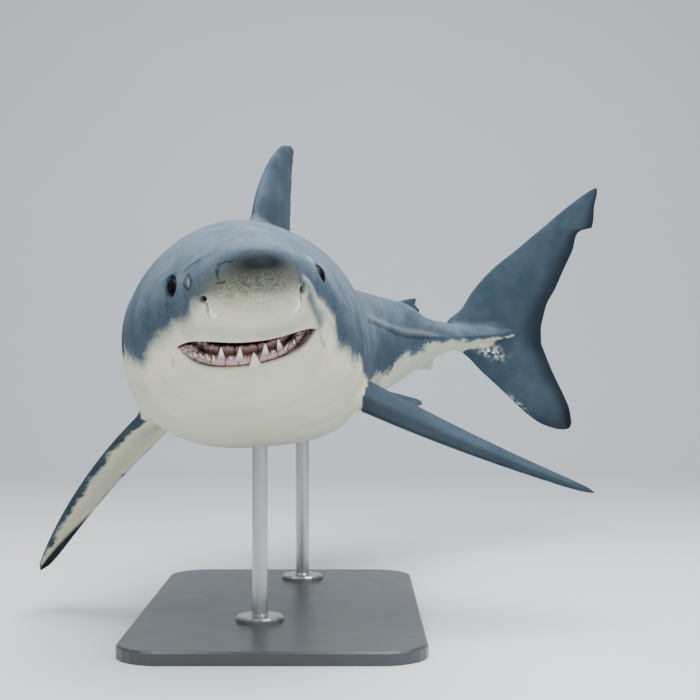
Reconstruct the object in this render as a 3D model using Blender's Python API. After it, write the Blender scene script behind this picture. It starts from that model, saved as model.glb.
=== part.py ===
"""Great white shark: a still, life-size display model in a turning, banking pose, on a flat stand.

The body is a row of cross-sections set square to a bending spine.  A place on the fish is written
as (along, side, height) in shares of the total length: along the spine from the snout, out to the
fish's left and up from the spine.  Fins are wing sections stacked from root to tip.  Every flesh piece
meets its neighbours face to face with a hairline gap, and the two gums carry their rows of teeth.

The fish swims towards -Y with its left side at +X.  The origin is the middle of the stand's underside.
"""

import bpy
import numpy as np

# ---------------------------------------------------------------- driving sizes
TOTAL_LENGTH = 4.0  # metres, snout to upper tail tip along the body
GAP = 0.0003  # metres between pieces that touch
HAIR = GAP / TOTAL_LENGTH  # the same gap as a share of the length

SNOUT_PLACE = (0.021, -1.442, 1.062)  # metres from the middle of the stand's underside

# Pose: (share of length, degrees) for the way the body points as it runs back from the snout.
HEADING = (
    (0, -13.9), (0.25, 0.7), (0.36, 8.6), (0.45, 10), (0.65, 28.5), (0.80, 55.3), (0.92, 74.5), (1, 74.5),
)
PITCH = ((0, 8.6), (0.35, 2.9), (0.80, -2.9), (1, -2.9))
ROLL = ((0, 6.2), (0.27, 5.3), (0.80, -2.6), (1, -2.6))

# Body outline: (share of length, share of length).
BACK = (
    (0, 0), (0.004, 0.0085), (0.012, 0.015), (0.03, 0.0246), (0.05, 0.0327), (0.08, 0.0423),
    (0.11, 0.051), (0.15, 0.0614), (0.20, 0.072), (0.25, 0.081), (0.32, 0.089), (0.40, 0.0925),
    (0.50, 0.080), (0.60, 0.0592), (0.68, 0.0482), (0.74, 0.0373), (0.78, 0.0196), (0.81, 0.0143),
    (0.86, 0.0118), (0.895, 0.004),
)
BELLY = (
    (0, 0), (0.004, 0.0075), (0.012, 0.013), (0.03, 0.022), (0.052, 0.0335), (0.060, 0.041),
    (0.068, 0.047), (0.076, 0.057), (0.09, 0.0615), (0.11, 0.065), (0.15, 0.0715), (0.20, 0.079),
    (0.25, 0.0855), (0.32, 0.0895), (0.40, 0.0885), (0.50, 0.0815), (0.60, 0.069), (0.70, 0.053),
    (0.74, 0.0406), (0.78, 0.0252), (0.81, 0.0165), (0.86, 0.0125), (0.895, 0.004),
)
HALF_WIDTH = (
    (0, 0), (0.004, 0.009), (0.012, 0.017), (0.03, 0.0311), (0.06, 0.0454), (0.11, 0.063),
    (0.15, 0.074), (0.20, 0.0835), (0.25, 0.0878), (0.32, 0.0876), (0.40, 0.080), (0.50, 0.067),
    (0.60, 0.0503), (0.70, 0.033), (0.76, 0.0245), (0.82, 0.0235), (0.86, 0.017), (0.895, 0.0035),
)
WIDEST_LEVEL = (
    (0, 0), (0.05, -0.002), (0.11, -0.0067), (0.20, -0.0117), (0.32, -0.0097), (0.50, -0.004),
    (0.60, 0), (1, 0),
)
BACK_BLUNTNESS = ((0, 1.9), (0.10, 1.84), (0.50, 1.95), (0.72, 2.0), (0.82, 1.3), (0.895, 1.6))
BELLY_BLUNTNESS = (
    (0, 2.0), (0.09, 1.9), (0.18, 2.6), (0.32, 2.7), (0.55, 2.2), (0.72, 2.0), (0.82, 1.3), (0.895, 1.6),
)

RING_POINTS = 32
HEAD_END, STALK_START = 0.248, 0.70  # the planes that part head, trunk and tail stalk
HEAD_STATIONS = (
    0.0004, 0.004, 0.011, 0.02, 0.03, 0.041, 0.05, 0.056, 0.062, 0.066, 0.069, 0.072, 0.076, 0.082,
    0.09, 0.10, 0.115, 0.132, 0.15, 0.17, 0.19, 0.21, 0.23, HEAD_END,
)
TRUNK_STATIONS = (
    HEAD_END, 0.27, 0.30, 0.33, 0.36, 0.40, 0.44, 0.48, 0.52, 0.56, 0.60, 0.64, 0.67, STALK_START,
)
STALK_STATIONS = (STALK_START, 0.73, 0.76, 0.785, 0.805, 0.82, 0.835, 0.85, 0.865, 0.88, 0.89)

# Mouth: lips fan out from a focus inside the head.  Shares of length.
MOUTH_FOCUS = np.array((0.115, 0.0, -0.0137))
# The line between the lips, as (along, height) at the front and at the corners.
MOUTH_MIDDLE, MOUTH_CORNER = (0.0596, -0.0399), (0.0762, -0.0272)
MOUTH_HALF_WIDTH, MOUTH_SHIFT = 0.0427, -0.0044  # the shift moves both corners to the fish's right
MOUTH_TILT = 0.0016  # how much higher the left corner is than the middle line
MOUTH_PLAN_POWER = 2.3  # how squarely the jaw arch bends round
LIP_RISE = np.array((-0.0085, 0.0, 0.0059))  # from the middle line to the upper lip at the front
LIP_POWER, LIP_SKEW = 6.0, -0.19  # how squarely the gape closes, and how much wider it is on the right
CORNER_OPENING = 0.05  # share of the front opening left at the corners
MOUTH_DEPTH = 0.5  # share of the way from the lips to the focus
MOUTH_STATIONS = (-1, -0.94, -0.85, -0.7, -0.5, -0.25, 0, 0.25, 0.5, 0.7, 0.85, 0.94, 1)
GUM_CLEARANCE = 4 * HAIR
HINGE_BEHIND_CORNER = 0.0005
THROAT = (0.150, -0.095)  # (along, height) where the cut behind the jaw leaves the belly

# Gum ridges as outlines of (inward, share of the way to the upper lip), and the rows of teeth on them
# as (count, half width, root, tip), where root and tip are (inward, share) too.
LOWER_GUM = ((0.975, 0), (0.965, 0.26), (0.93, 0.36), (0.87, 0.34), (0.84, 0))
UPPER_GUM = ((0.80, 1), (0.79, 0.80), (0.74, 0.70), (0.66, 0.74), (0.62, 1))
LOWER_TEETH = (14, 0.022, (0.925, 0.28), (0.955, 0.80))
UPPER_TEETH = (13, 0.026, (0.745, 0.78), (0.765, 0.42))
TOOTH_ROW_REACH = 0.84  # share of the way to the mouth's corners
CORNER_TOOTH_SHRINK = 0.45
TOOTH_DEPTH = 0.025  # half thickness of a tooth's root, inwards

# Eyes and nostrils are at (along, degrees round the section), with half sizes along, out and up.
EYE_PLACES, EYE_SIZE = {"left": (0.0765, 17), "right": (0.0685, 17)}, (0.0058, 0.0048, 0.0062)
EYE_SET = 0.0044  # how far the ball's middle lies in from the skin
NOSTRIL_PLACES, NOSTRIL_SIZE = {"left": (0.0292, -21), "right": (0.0318, -17.5)}, (0.0028, 0.0042, 0.0024)

GILLS, FIRST_GILL, GILL_SPACING = 5, 0.196, 0.0105
GILL_TOP, GILL_FOOT = 24, -42  # degrees round the section
GILL_WIDTH, GILL_DEPTH = 0.0009, 0.0030
GILL_BOW, GILL_LEAN = 0.010, 0.002

# Fins: outlines are (share of span, leading edge, trailing edge) in shares of the length.
# Each fin's swell is its greatest thickness as a share of the chord there.
DORSAL_FIRST = (
    (-0.25, 0.350, 0.462), (0, 0.352, 0.478), (0.08, 0.356, 0.464), (0.36, 0.373, 0.467),
    (0.64, 0.399, 0.471), (0.88, 0.430, 0.475), (0.97, 0.447, 0.477), (1, 0.460, 0.472),
)
DORSAL_FIRST_BASE, DORSAL_FIRST_HEIGHT, DORSAL_FIRST_SWELL = 0.0900, 0.0870, 0.125
DORSAL_FIRST_YAW = 3  # degrees the fin is swung by the turn
DORSAL_SECOND = (
    (-0.7, 0.730, 0.757), (0, 0.728, 0.765), (0.5, 0.730, 0.759), (0.77, 0.733, 0.760), (0.93, 0.745, 0.7605),
    (1, 0.754, 0.7603),
)
DORSAL_SECOND_BASE, DORSAL_SECOND_HEIGHT = 0.0300, 0.0130
ANAL = (
    (-0.5, 0.758, 0.780), (0, 0.754, 0.787), (0.5, 0.755, 0.7845), (0.88, 0.760, 0.7835), (1, 0.773, 0.7828),
)
ANAL_BASE, ANAL_HEIGHT = -0.0200, -0.0160
FINLET_SWELL = 0.12
CAUDAL_UPPER = (
    (0, 0.800, 0.9247), (0.10, 0.806, 0.928), (0.18, 0.825, 0.932), (0.29, 0.8390, 0.943),
    (0.46, 0.8687, 0.9573), (0.56, 0.8925, 0.966), (0.70, 0.9235, 0.9753), (0.713, 0.9265, 0.9905),
    (0.87, 0.9607, 0.9948), (0.97, 0.986, 0.9985), (1, 0.995, 0.9988),
)
CAUDAL_LOWER = (
    (0, 0.800, 0.9247), (0.10, 0.812, 0.9247), (0.20, 0.8305, 0.928), (0.36, 0.8495, 0.935),
    (0.50, 0.867, 0.942), (0.66, 0.886, 0.951), (0.82, 0.905, 0.9575), (0.93, 0.9225, 0.959),
    (1, 0.9430, 0.956),
)
CAUDAL_UPPER_SPAN, CAUDAL_LOWER_SPAN, CAUDAL_SWELL = 0.160, 0.1135, 0.085

# Paired fins: chords are (share of span, share of length).  Poses are (turn about the root, droop at
# the root, droop at the tip, incidence at the root, incidence at the tip) in degrees.
PECTORAL_CHORD = (
    (-0.12, 0.088), (0, 0.084), (0.25, 0.072), (0.5, 0.056), (0.75, 0.038), (0.9, 0.025), (0.97, 0.015),
    (1, 0.006),
)
PECTORAL_ROOT, PECTORAL_SPAN, PECTORAL_SWEEP = (0.2643, 0.0645, -0.0483), 0.2027, 0.1067
PECTORAL_POSES = {"left": (-10.6, 30.9, 24.6, -18.0, -15.5), "right": (6.7, 30.0, 56.6, 8.6, 20.8)}
PECTORAL_SWELL, PECTORAL_EXTRA_RINGS = 0.105, 9
PELVIC_CHORD = ((-0.3, 0.056), (0, 0.056), (0.3, 0.049), (0.6, 0.037), (0.85, 0.024), (1, 0.009))
PELVIC_ROOT, PELVIC_SPAN, PELVIC_SWEEP = (0.574, 0.030, -0.054), 0.060, 0.030
PELVIC_POSE = (0, 10, 2, -14, -14)
PELVIC_SWELL = 0.10
PIVOT = 0.35  # share of the chord about which a paired fin tilts
SWEEP_BOW = 0.18  # how far the leading edge bows ahead of a straight sweep
FIN_EDGE = 0.0011  # metres, half the thickness of a fin's edges

# Stand, in metres
BASE_SIZE, BASE_THICKNESS, BASE_CORNER, BASE_CHAMFER = (0.9, 1.5), 0.04, 0.14, 0.006
ROD_STATIONS = {"front": 0.30, "rear": 0.50}
ROD_RADIUS, FOOT_RADIUS, FOOT_HEIGHT, FOOT_ROUND = 0.024, 0.075, 0.016, 0.006
ROD_SIDES = 18


# ---------------------------------------------------------------- curves and the spine
def smooth(at, points):
    """Values at `at` of a monotone cubic through (position, value) points."""
    at = np.asarray(at, float)
    xs, ys = np.array(points, float).T
    run = np.diff(xs)
    slope = np.diff(ys) / run
    tangent = np.zeros_like(ys)
    tangent[0], tangent[-1] = slope[0], slope[-1]
    same_way = slope[:-1] * slope[1:] > 0
    near, far = 2 * run[1:] + run[:-1], run[1:] + 2 * run[:-1]
    safe = np.where(slope == 0, 1, slope)
    mean = (near + far) / (near / safe[:-1] + far / safe[1:])
    tangent[1:-1] = np.where(same_way, mean, 0)
    i = np.clip(np.searchsorted(xs, at) - 1, 0, len(run) - 1)
    u = np.clip((at - xs[i]) / run[i], 0, 1)
    start = (1 + 2 * u) * (1 - u) ** 2 * ys[i] + u * (1 - u) ** 2 * run[i] * tangent[i]
    return start + u * u * (3 - 2 * u) * ys[i + 1] + u * u * (u - 1) * run[i] * tangent[i + 1]


def body_size(along, outline):
    """A body measure at a station, read over the root of the distance so that the snout stays round."""
    points = [(np.sqrt(position), value) for position, value in outline]
    return smooth(np.sqrt(np.maximum(along, 0)), points)


class Spine:
    """The bent centre line: places and the three directions of the fish along it."""

    STEPS = 1000

    def __init__(self):
        self.at = np.linspace(0, 1, self.STEPS + 1)
        heading, pitch, roll = (np.radians(smooth(self.at, pose)) for pose in (HEADING, PITCH, ROLL))
        level_run = np.cos(pitch)
        back = np.stack([np.sin(heading) * level_run, np.cos(heading) * level_run, -np.sin(pitch)], 1)
        steps = (back[1:] + back[:-1]) / 2 * TOTAL_LENGTH / self.STEPS
        self.place = np.array(SNOUT_PLACE) + np.concatenate([np.zeros((1, 3)), np.cumsum(steps, 0)])
        level = np.array((0, 0, 1)) - back * back[:, 2:]
        level /= np.linalg.norm(level, axis=1)[:, None]
        flat_left = np.cross(level, -back)
        cos, sin = np.cos(roll)[:, None], np.sin(roll)[:, None]
        self.back = back
        self.left = flat_left * cos + level * sin
        self.up = level * cos - flat_left * sin

    def read(self, values, along):
        """One of the spine's vectors at each station."""
        return np.stack([np.interp(along, self.at, values[:, k]) for k in range(3)], -1)

    def world(self, points):
        """Metres in the model's frame for (along, side, height) points that follow the bend."""
        points = np.asarray(points, float)
        along = points[..., 0]
        beyond = np.minimum(along, 0)[..., None] * self.back[0]
        side = self.read(self.left, along) * points[..., 1:2]
        height = self.read(self.up, along) * points[..., 2:3]
        return self.read(self.place, along) + (beyond + side + height) * TOTAL_LENGTH

    def rigid(self, points, station):
        """Metres for points measured in the straight frame of one station."""
        offset = np.asarray(points, float) - (station, 0, 0)
        axes = np.stack([self.read(a, station) for a in (self.back, self.left, self.up)])
        return self.read(self.place, station) + offset @ axes * TOTAL_LENGTH


SPINE = Spine()


# ---------------------------------------------------------------- meshes, materials and cuts
def finish(name, colour, roughness, metallic=0.0):
    """A plain material."""
    material = bpy.data.materials.new(name)
    material.use_nodes = True
    shader = material.node_tree.nodes["Principled BSDF"]
    shader.inputs["Base Color"].default_value = (*colour, 1)
    shader.inputs["Roughness"].default_value = roughness
    shader.inputs["Metallic"].default_value = metallic
    return material


def new_object(name, points, faces, material=None):
    mesh = bpy.data.meshes.new(name)
    mesh.from_pydata([tuple(p) for p in np.asarray(points, float)], [], [tuple(f) for f in faces])
    mesh.update()
    made = bpy.data.objects.new(name, mesh)
    bpy.context.scene.collection.objects.link(made)
    if material:
        mesh.materials.append(material)
    return made


def ring_faces(rows, count, first=0):
    """Quads between rings of `count` points, with a face over each end."""
    row, col = np.meshgrid(np.arange(rows - 1), np.arange(count), indexing="ij")
    turn = (col + 1) % count
    here, ahead = row * count, (row + 1) * count
    quads = np.stack([here + col, here + turn, ahead + turn, ahead + col], -1)
    faces = [tuple(quad) for quad in (quads.reshape(-1, 4) + first)]
    start, end = np.arange(count) + first, np.arange(count) + first + (rows - 1) * count
    return faces + [tuple(start[::-1]), tuple(end)]


def turned_out(points, faces):
    """The faces, reversed if they enclose a negative volume."""
    volume = 0.0
    for face in faces:
        a = points[face[0]]
        for j, k in zip(face[1:-1], face[2:]):
            volume += np.dot(a, np.cross(points[j], points[k]))
    return faces if volume > 0 else [tuple(reversed(face)) for face in faces]


def loft(name, rings, material=None):
    """A closed body through rings of world points."""
    rings = np.asarray(rings)
    points = rings.reshape(-1, 3)
    faces = ring_faces(*rings.shape[:2])
    return new_object(name, points, turned_out(points, faces), material)


def as_cutter(made):
    made.hide_render = True
    made.display_type = "WIRE"
    return made


def combine(made, other, operation):
    cut = made.modifiers.new(operation.title(), "BOOLEAN")
    cut.operation = operation
    cut.object = other
    cut.solver = "EXACT"


def smooth_shade(made, angle=40):
    made.data.shade_smooth()
    made.data.set_sharp_from_angle(angle=np.radians(angle))


# ---------------------------------------------------------------- the body
def section(along, angle, grow=0.0):
    """(side, height) on the skin at a station, an oval squared by its bluntness.  90 degrees is the back."""
    back, belly, width, level = (body_size(along, o) + g for o, g in (
        (BACK, grow), (BELLY, grow), (HALF_WIDTH, grow), (WIDEST_LEVEL, 0)))
    cos, sin = np.cos(angle), np.sin(angle)
    power = 2 / np.where(sin > 0, smooth(along, BACK_BLUNTNESS), smooth(along, BELLY_BLUNTNESS))
    side = width * np.sign(cos) * np.abs(cos) ** power
    reach = np.abs(sin) ** power
    return side, np.where(sin > 0, level + (back - level) * reach, level - (belly + level) * reach)


def body_rings(stations, grow=0.0):
    """Rings of skin points at the stations."""
    angle = np.linspace(-np.pi / 2, 1.5 * np.pi, RING_POINTS, endpoint=False)
    along, around = np.meshgrid(stations, angle, indexing="ij")
    side, height = section(along, around, grow)
    return SPINE.world(np.stack([along, side, height], -1))


def body_length(name, stations, material, start_gap=0.0):
    """One length of the body between two planes square to the spine."""
    stations = np.array(stations, float)
    stations[0] += start_gap
    made = loft(name, body_rings(stations), material)
    smooth_shade(made, 50)
    return made


def grown_body():
    """The whole body a hairline larger, which trims fins and rods to the skin."""
    stations = np.array(sorted({*HEAD_STATIONS, *TRUNK_STATIONS, *STALK_STATIONS}))
    stations[-1] += 2 * HAIR
    return as_cutter(loft("trim_body", body_rings(stations, 1.5 * HAIR)))


# ---------------------------------------------------------------- mouth, teeth, eyes and gills
def mouth_opening(across):
    """The gape at each place across the mouth as a share of the one at the front."""
    return np.maximum(1 - np.abs(across) ** LIP_POWER, CORNER_OPENING) * (1 + LIP_SKEW * across)


def mouth_place(across, inward, share):
    """A point of the mouth.  Across runs -1 to 1 from corner to corner, inward 1 at the lips to 0 at
    the focus, and share 0 at the lower lip to 1 at the upper."""
    across, inward, share = np.broadcast_arrays(*(np.asarray(v, float) for v in (across, inward, share)))
    bend = np.abs(across) ** MOUTH_PLAN_POWER
    along = MOUTH_MIDDLE[0] + (MOUTH_CORNER[0] - MOUTH_MIDDLE[0]) * bend
    height = MOUTH_MIDDLE[1] + (MOUTH_CORNER[1] - MOUTH_MIDDLE[1]) * bend
    out = MOUTH_HALF_WIDTH * across + MOUTH_SHIFT * across**2
    line = np.stack([along, out, height + MOUTH_TILT * across], -1)
    lips = line + (mouth_opening(across) * (2 * share - 1))[..., None] * LIP_RISE
    return MOUTH_FOCUS + inward[..., None] * (lips - MOUTH_FOCUS)


def mouth_gap(across):
    """The gum's clearance as a share of the mouth's opening."""
    return GUM_CLEARANCE / (2 * np.linalg.norm(LIP_RISE) * mouth_opening(across))


def mouth_space():
    """Cutter for the open mouth, from outside the lips to its back wall."""
    across = np.array(MOUTH_STATIONS)
    ways = ((1.5, 0), (1, 0), (MOUTH_DEPTH, 0), (MOUTH_DEPTH, 1), (1, 1), (1.5, 1))
    rings = np.stack([mouth_place(across, inward, share) for inward, share in ways], 1)
    return as_cutter(loft("mouth_space", SPINE.world(rings)))


def jaw_block(name, grow=0.0):
    """Cutter for all that hangs below the plane between the lips and ahead of the throat."""
    slope = (MOUTH_CORNER[1] - MOUTH_MIDDLE[1]) / (MOUTH_CORNER[0] - MOUTH_MIDDLE[0])

    def level(along):
        return MOUTH_CORNER[1] + slope * (along - MOUTH_CORNER[0]) + grow * np.hypot(1, slope)

    hinge = MOUTH_CORNER[0] + HINGE_BEHIND_CORNER + grow
    halfway = ((hinge + THROAT[0]) / 2 + grow, (level(hinge) + THROAT[1]) / 2 + grow)
    corners = ((0.03, level(0.03)), (0.055, level(0.055)), (hinge, level(hinge)), halfway,
               (THROAT[0] + 2 * grow, THROAT[1]), (0.09, THROAT[1]), (0.03, THROAT[1]))
    sides = np.linspace(-0.11, 0.11, 7)
    tilt = MOUTH_TILT / MOUTH_HALF_WIDTH
    rings = [[(along, side, height + tilt * side) for along, height in corners] for side in sides]
    return as_cutter(loft(name, SPINE.world(rings)))


def gum(name, outline, teeth, material):
    """A gum ridge of the (inward, share) outline, with its row of teeth.

    Teeth are (across, half width, root, tip) where root and tip are (inward, share)."""
    across = np.array(MOUTH_STATIONS[1:-1])
    clear = mouth_gap(across)
    rings = np.stack([mouth_place(across, inward, np.clip(share, clear, 1 - clear))
                      for inward, share in outline], 1)
    made = loft(name, SPINE.world(rings), material)
    points, faces = [], []
    for middle, half_width, root, tip in teeth:
        base = [(middle - half_width, root[0], root[1]), (middle, root[0] + TOOTH_DEPTH, root[1]),
                (middle + half_width, root[0], root[1]), (middle, root[0] - TOOTH_DEPTH, root[1])]
        sharp = [(middle + (side - middle) * 0.12, tip[0] + (inward - root[0]) * 0.15, tip[1])
                 for side, inward, _ in base]
        corners = [[mouth_place(*corner) for corner in ring] for ring in (base, sharp)]
        shell = SPINE.world(corners).reshape(-1, 3)
        faces += turned_out_from(shell, len(points))
        points += list(shell)
    row = as_cutter(new_object(name + "_teeth", points, faces))
    combine(made, row, "UNION")
    return made


def turned_out_from(shell, first):
    """Faces of a four-sided tooth, numbered from `first`."""
    faces = turned_out(shell, ring_faces(2, 4))
    return [tuple(index + first for index in face) for face in faces]


def tooth_row(count, half_width, root, tip):
    """Teeth spread over the arch, shorter towards the corners."""
    row = []
    for place in np.linspace(-TOOTH_ROW_REACH, TOOTH_ROW_REACH, count):
        shrink = 1 - CORNER_TOOTH_SHRINK * place**2
        end = root[1] + (tip[1] - root[1]) * shrink
        row.append((place, half_width * shrink, root, (tip[0], end)))
    return row


def skin_place(along, degrees, side, depth=0.0):
    """(along, side, height) of a place on the skin, or that far in from it."""
    out, height = section(along, np.radians(degrees))
    return along, side * (out - depth), float(height)


def ball(name, centre, radii, material=None):
    """An oval body about a place on the fish, its axes along, out to the side and up."""
    polar = np.linspace(0.2, np.pi - 0.2, 8)
    turn = np.linspace(0, 2 * np.pi, 12, endpoint=False)
    lift, around = np.meshgrid(polar, turn, indexing="ij")
    unit = np.stack([np.sin(lift) * np.cos(around), np.cos(lift), np.sin(lift) * np.sin(around)], -1)
    made = loft(name, SPINE.rigid(unit * radii + np.array(centre), centre[0]), material)
    smooth_shade(made, 60)
    return made


def gill_blade(name, index, side):
    """Cutter for one gill slit: a thin strip that follows the skin and leans forward as it goes in."""
    down = np.linspace(0, 1, 5)
    angle = np.radians(GILL_TOP + (GILL_FOOT - GILL_TOP) * down)
    along = FIRST_GILL + index * GILL_SPACING + GILL_BOW * (down - 0.25) ** 2
    out, height = section(along, angle)
    skin = np.stack([along, side * out, height], -1)
    inner = np.stack([along - GILL_LEAN, side * out, height], -1)
    inner[:, 1:] *= 1 - GILL_DEPTH / body_size(FIRST_GILL, HALF_WIDTH)
    outer = skin * (1, 1.06, 1.06)
    half = (GILL_WIDTH / 2, 0, 0)
    rings = np.stack([outer - half, outer + half, inner + half, inner - half], 1)
    return as_cutter(loft(name, SPINE.world(rings)))


# ---------------------------------------------------------------- fins
def wing_section(count=8):
    """(chord share, thickness share with its sign, face) round the usual four-digit wing section."""
    turn = (np.arange(2 * count) + 0.5) / (2 * count) * 2 * np.pi
    chord = (1 - np.cos(turn)) / 2
    powers = np.stack([np.sqrt(chord), chord, chord**2, chord**3, chord**4])
    thickness = 5 * np.array((0.2969, -0.1260, -0.3516, 0.2843, -0.1036)) @ powers
    face = np.where(turn < np.pi, 1, -1)
    return chord, face * thickness, face


def midline_fin(name, outline, base, height, swell, material, yaw=0.0):
    """A fin on the fish's middle plane; outline rows are (share of height, leading, trailing)."""
    chord, thickness, face = wing_section()
    rings = []
    for share, leading, trailing in outline:
        length = trailing - leading
        along = leading + chord * length
        across = thickness * swell * length + face * FIN_EDGE / TOTAL_LENGTH
        across += np.tan(np.radians(yaw)) * (along - outline[0][1] - length / 2)
        rings.append(np.stack([along, across, np.full_like(along, base + height * share)], -1))
    made = loft(name, SPINE.world(rings), material)
    smooth_shade(made)
    return made


def caudal_outline():
    """Rows of the tail fin from the lower tip up, as (height, leading, trailing)."""
    lower = [(-share * CAUDAL_LOWER_SPAN, lead, trail) for share, lead, trail in reversed(CAUDAL_LOWER)]
    upper = [(share * CAUDAL_UPPER_SPAN, lead, trail) for share, lead, trail in CAUDAL_UPPER[1:]]
    return lower + upper


def paired_fin(name, side, chords, root, span, sweep, pose, swell, material, extra_rings=0):
    """A fin that reaches out to one side: a flat planform, tilted, turned about its root and drooped."""
    turn, droop_root, droop_tip, tilt_root, tilt_tip = np.radians(pose)
    chord, thickness, face = wing_section()
    shares = sorted({*(share for share, _ in chords), *np.round(np.linspace(0.1, 0.9, extra_rings), 3)})
    lengths = smooth(shares, chords)
    step = np.linspace(0, 1.2, 241)
    droop = droop_root + (droop_tip - droop_root) * step
    mid = (droop[1:] + droop[:-1]) / 2
    reach_out = np.concatenate([[0], np.cumsum(np.cos(mid))]) * (step[1] - step[0]) * span
    reach_down = np.concatenate([[0], np.cumsum(np.sin(mid))]) * (step[1] - step[0]) * span
    rings = []
    for share, length in zip(shares, lengths):
        tilt = tilt_root + (tilt_tip - tilt_root) * share
        from_pivot = (chord - PIVOT) * length
        normal = thickness * swell * length + face * FIN_EDGE / TOTAL_LENGTH
        aft = sweep * (share + SWEEP_BOW * share * (1 - share)) + PIVOT * length
        aft = aft + from_pivot * np.cos(tilt) + normal * np.sin(tilt)
        lift = -from_pivot * np.sin(tilt) + normal * np.cos(tilt)
        along = aft * np.cos(turn) + share * span * np.sin(turn)
        outward = (share * span * np.cos(turn) - aft * np.sin(turn)) / span
        angle = droop_root + (droop_tip - droop_root) * outward
        inside = np.minimum(outward, 0) * span
        out = np.interp(outward, step, reach_out) + inside * np.cos(angle) + lift * np.sin(angle)
        down = np.interp(outward, step, reach_down) + inside * np.sin(angle) - lift * np.cos(angle)
        rings.append(np.stack([root[0] + along, side * (root[1] + out), root[2] - down], -1))
    made = loft(name, SPINE.rigid(rings, root[0]), material)
    smooth_shade(made)
    return made


# ---------------------------------------------------------------- the stand
def rounded_slab(name, size, corner, thickness, chamfer, material):
    """A flat slab with round corners and a chamfered top edge, its underside at height 0."""
    turn = np.radians(np.arange(0, 360, 15) + 7.5)
    half = np.array(size) / 2 - corner
    rings = []
    for inset, height in ((0, 0), (0, thickness - chamfer), (chamfer, thickness)):
        x = np.sign(np.cos(turn)) * half[0] + (corner - inset) * np.cos(turn)
        y = np.sign(np.sin(turn)) * half[1] + (corner - inset) * np.sin(turn)
        rings.append(np.stack([x, y, np.full_like(x, height)], -1))
    return loft(name, rings, material)


def support_rod(name, station, material):
    """A round rod with a footplate, from the base up into the belly, to be trimmed to the skin."""
    low = SPINE.world((station, 0, -body_size(station, BELLY)))
    foot = BASE_THICKNESS + GAP
    top = foot + FOOT_HEIGHT
    profile = ((FOOT_RADIUS, foot), (FOOT_RADIUS, top - FOOT_ROUND), (FOOT_RADIUS - FOOT_ROUND, top),
               (ROD_RADIUS + FOOT_ROUND, top), (ROD_RADIUS, top + FOOT_ROUND), (ROD_RADIUS, low[2] + 0.06))
    turn = np.linspace(0, 2 * np.pi, ROD_SIDES, endpoint=False)
    round_about = np.stack([np.cos(turn), np.sin(turn), np.zeros(ROD_SIDES)], -1)
    rings = [(low[0], low[1], height) + radius * round_about for radius, height in profile]
    made = loft(name, rings, material)
    smooth_shade(made)
    return made


# ---------------------------------------------------------------- assembly
def main():
    for old in list(bpy.data.objects):
        bpy.data.objects.remove(old, do_unlink=True)

    skin = finish("slate and cream shark skin", (0.22, 0.27, 0.31), 0.45)
    jaw_skin = finish("cream jaw skin", (0.62, 0.62, 0.55), 0.45)
    gum_flesh = finish("mauve gum and ivory teeth", (0.50, 0.33, 0.34), 0.30)
    eye_black = finish("blue-black eye", (0.012, 0.014, 0.02), 0.06)
    lacquer = finish("satin charcoal lacquer", (0.06, 0.065, 0.07), 0.35)
    steel = finish("brushed steel", (0.55, 0.56, 0.57), 0.32, 1.0)

    trim = grown_body()
    mouth = mouth_space()
    jaw_cut, jaw_room = jaw_block("jaw_block"), jaw_block("jaw_room", 2 * HAIR)

    head = body_length("head", HEAD_STATIONS, skin)
    jaw = body_length("lower_jaw", HEAD_STATIONS, jaw_skin)
    combine(jaw, jaw_cut, "INTERSECT")
    combine(jaw, mouth, "DIFFERENCE")
    combine(head, jaw_room, "DIFFERENCE")
    combine(head, mouth, "DIFFERENCE")

    for side, word in ((1, "left"), (-1, "right")):
        centre = skin_place(*EYE_PLACES[word], side, EYE_SET)
        ball(f"eye_{word}", centre, np.array(EYE_SIZE), eye_black)
        combine(head, as_cutter(ball(f"socket_{word}", centre, np.array(EYE_SIZE) + HAIR)), "DIFFERENCE")
        centre = skin_place(*NOSTRIL_PLACES[word], side)
        combine(head, as_cutter(ball(f"nostril_{word}", centre, np.array(NOSTRIL_SIZE))), "DIFFERENCE")
        for index in range(GILLS):
            combine(head, gill_blade(f"gill_{word}_{index + 1}", index, side), "DIFFERENCE")

    gum("gum_lower", LOWER_GUM, tooth_row(*LOWER_TEETH), gum_flesh)
    gum("gum_upper", UPPER_GUM, tooth_row(*UPPER_TEETH), gum_flesh)

    body_length("trunk", TRUNK_STATIONS, skin, HAIR)
    body_length("tail_stalk", STALK_STATIONS, skin, HAIR)

    fins = [
        midline_fin("fin_dorsal_first", DORSAL_FIRST, DORSAL_FIRST_BASE, DORSAL_FIRST_HEIGHT,
                    DORSAL_FIRST_SWELL, skin, DORSAL_FIRST_YAW),
        midline_fin("fin_dorsal_second", DORSAL_SECOND, DORSAL_SECOND_BASE, DORSAL_SECOND_HEIGHT,
                    FINLET_SWELL, skin),
        midline_fin("fin_anal", ANAL, ANAL_BASE, ANAL_HEIGHT, FINLET_SWELL, skin),
        midline_fin("fin_caudal", caudal_outline(), 0, 1, CAUDAL_SWELL, skin),
    ]
    for word, side in (("left", 1), ("right", -1)):
        fins.append(paired_fin(f"fin_pectoral_{word}", side, PECTORAL_CHORD, PECTORAL_ROOT, PECTORAL_SPAN,
                               PECTORAL_SWEEP, PECTORAL_POSES[word], PECTORAL_SWELL, skin,
                               PECTORAL_EXTRA_RINGS))
        fins.append(paired_fin(f"fin_pelvic_{word}", side, PELVIC_CHORD, PELVIC_ROOT, PELVIC_SPAN,
                               PELVIC_SWEEP, PELVIC_POSE, PELVIC_SWELL, skin))
    for fin in fins:
        combine(fin, trim, "DIFFERENCE")

    rounded_slab("stand_base", BASE_SIZE, BASE_CORNER, BASE_THICKNESS, BASE_CHAMFER, lacquer)
    for word, station in ROD_STATIONS.items():
        combine(support_rod(f"stand_rod_{word}", station, steel), trim, "DIFFERENCE")


main()
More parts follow.
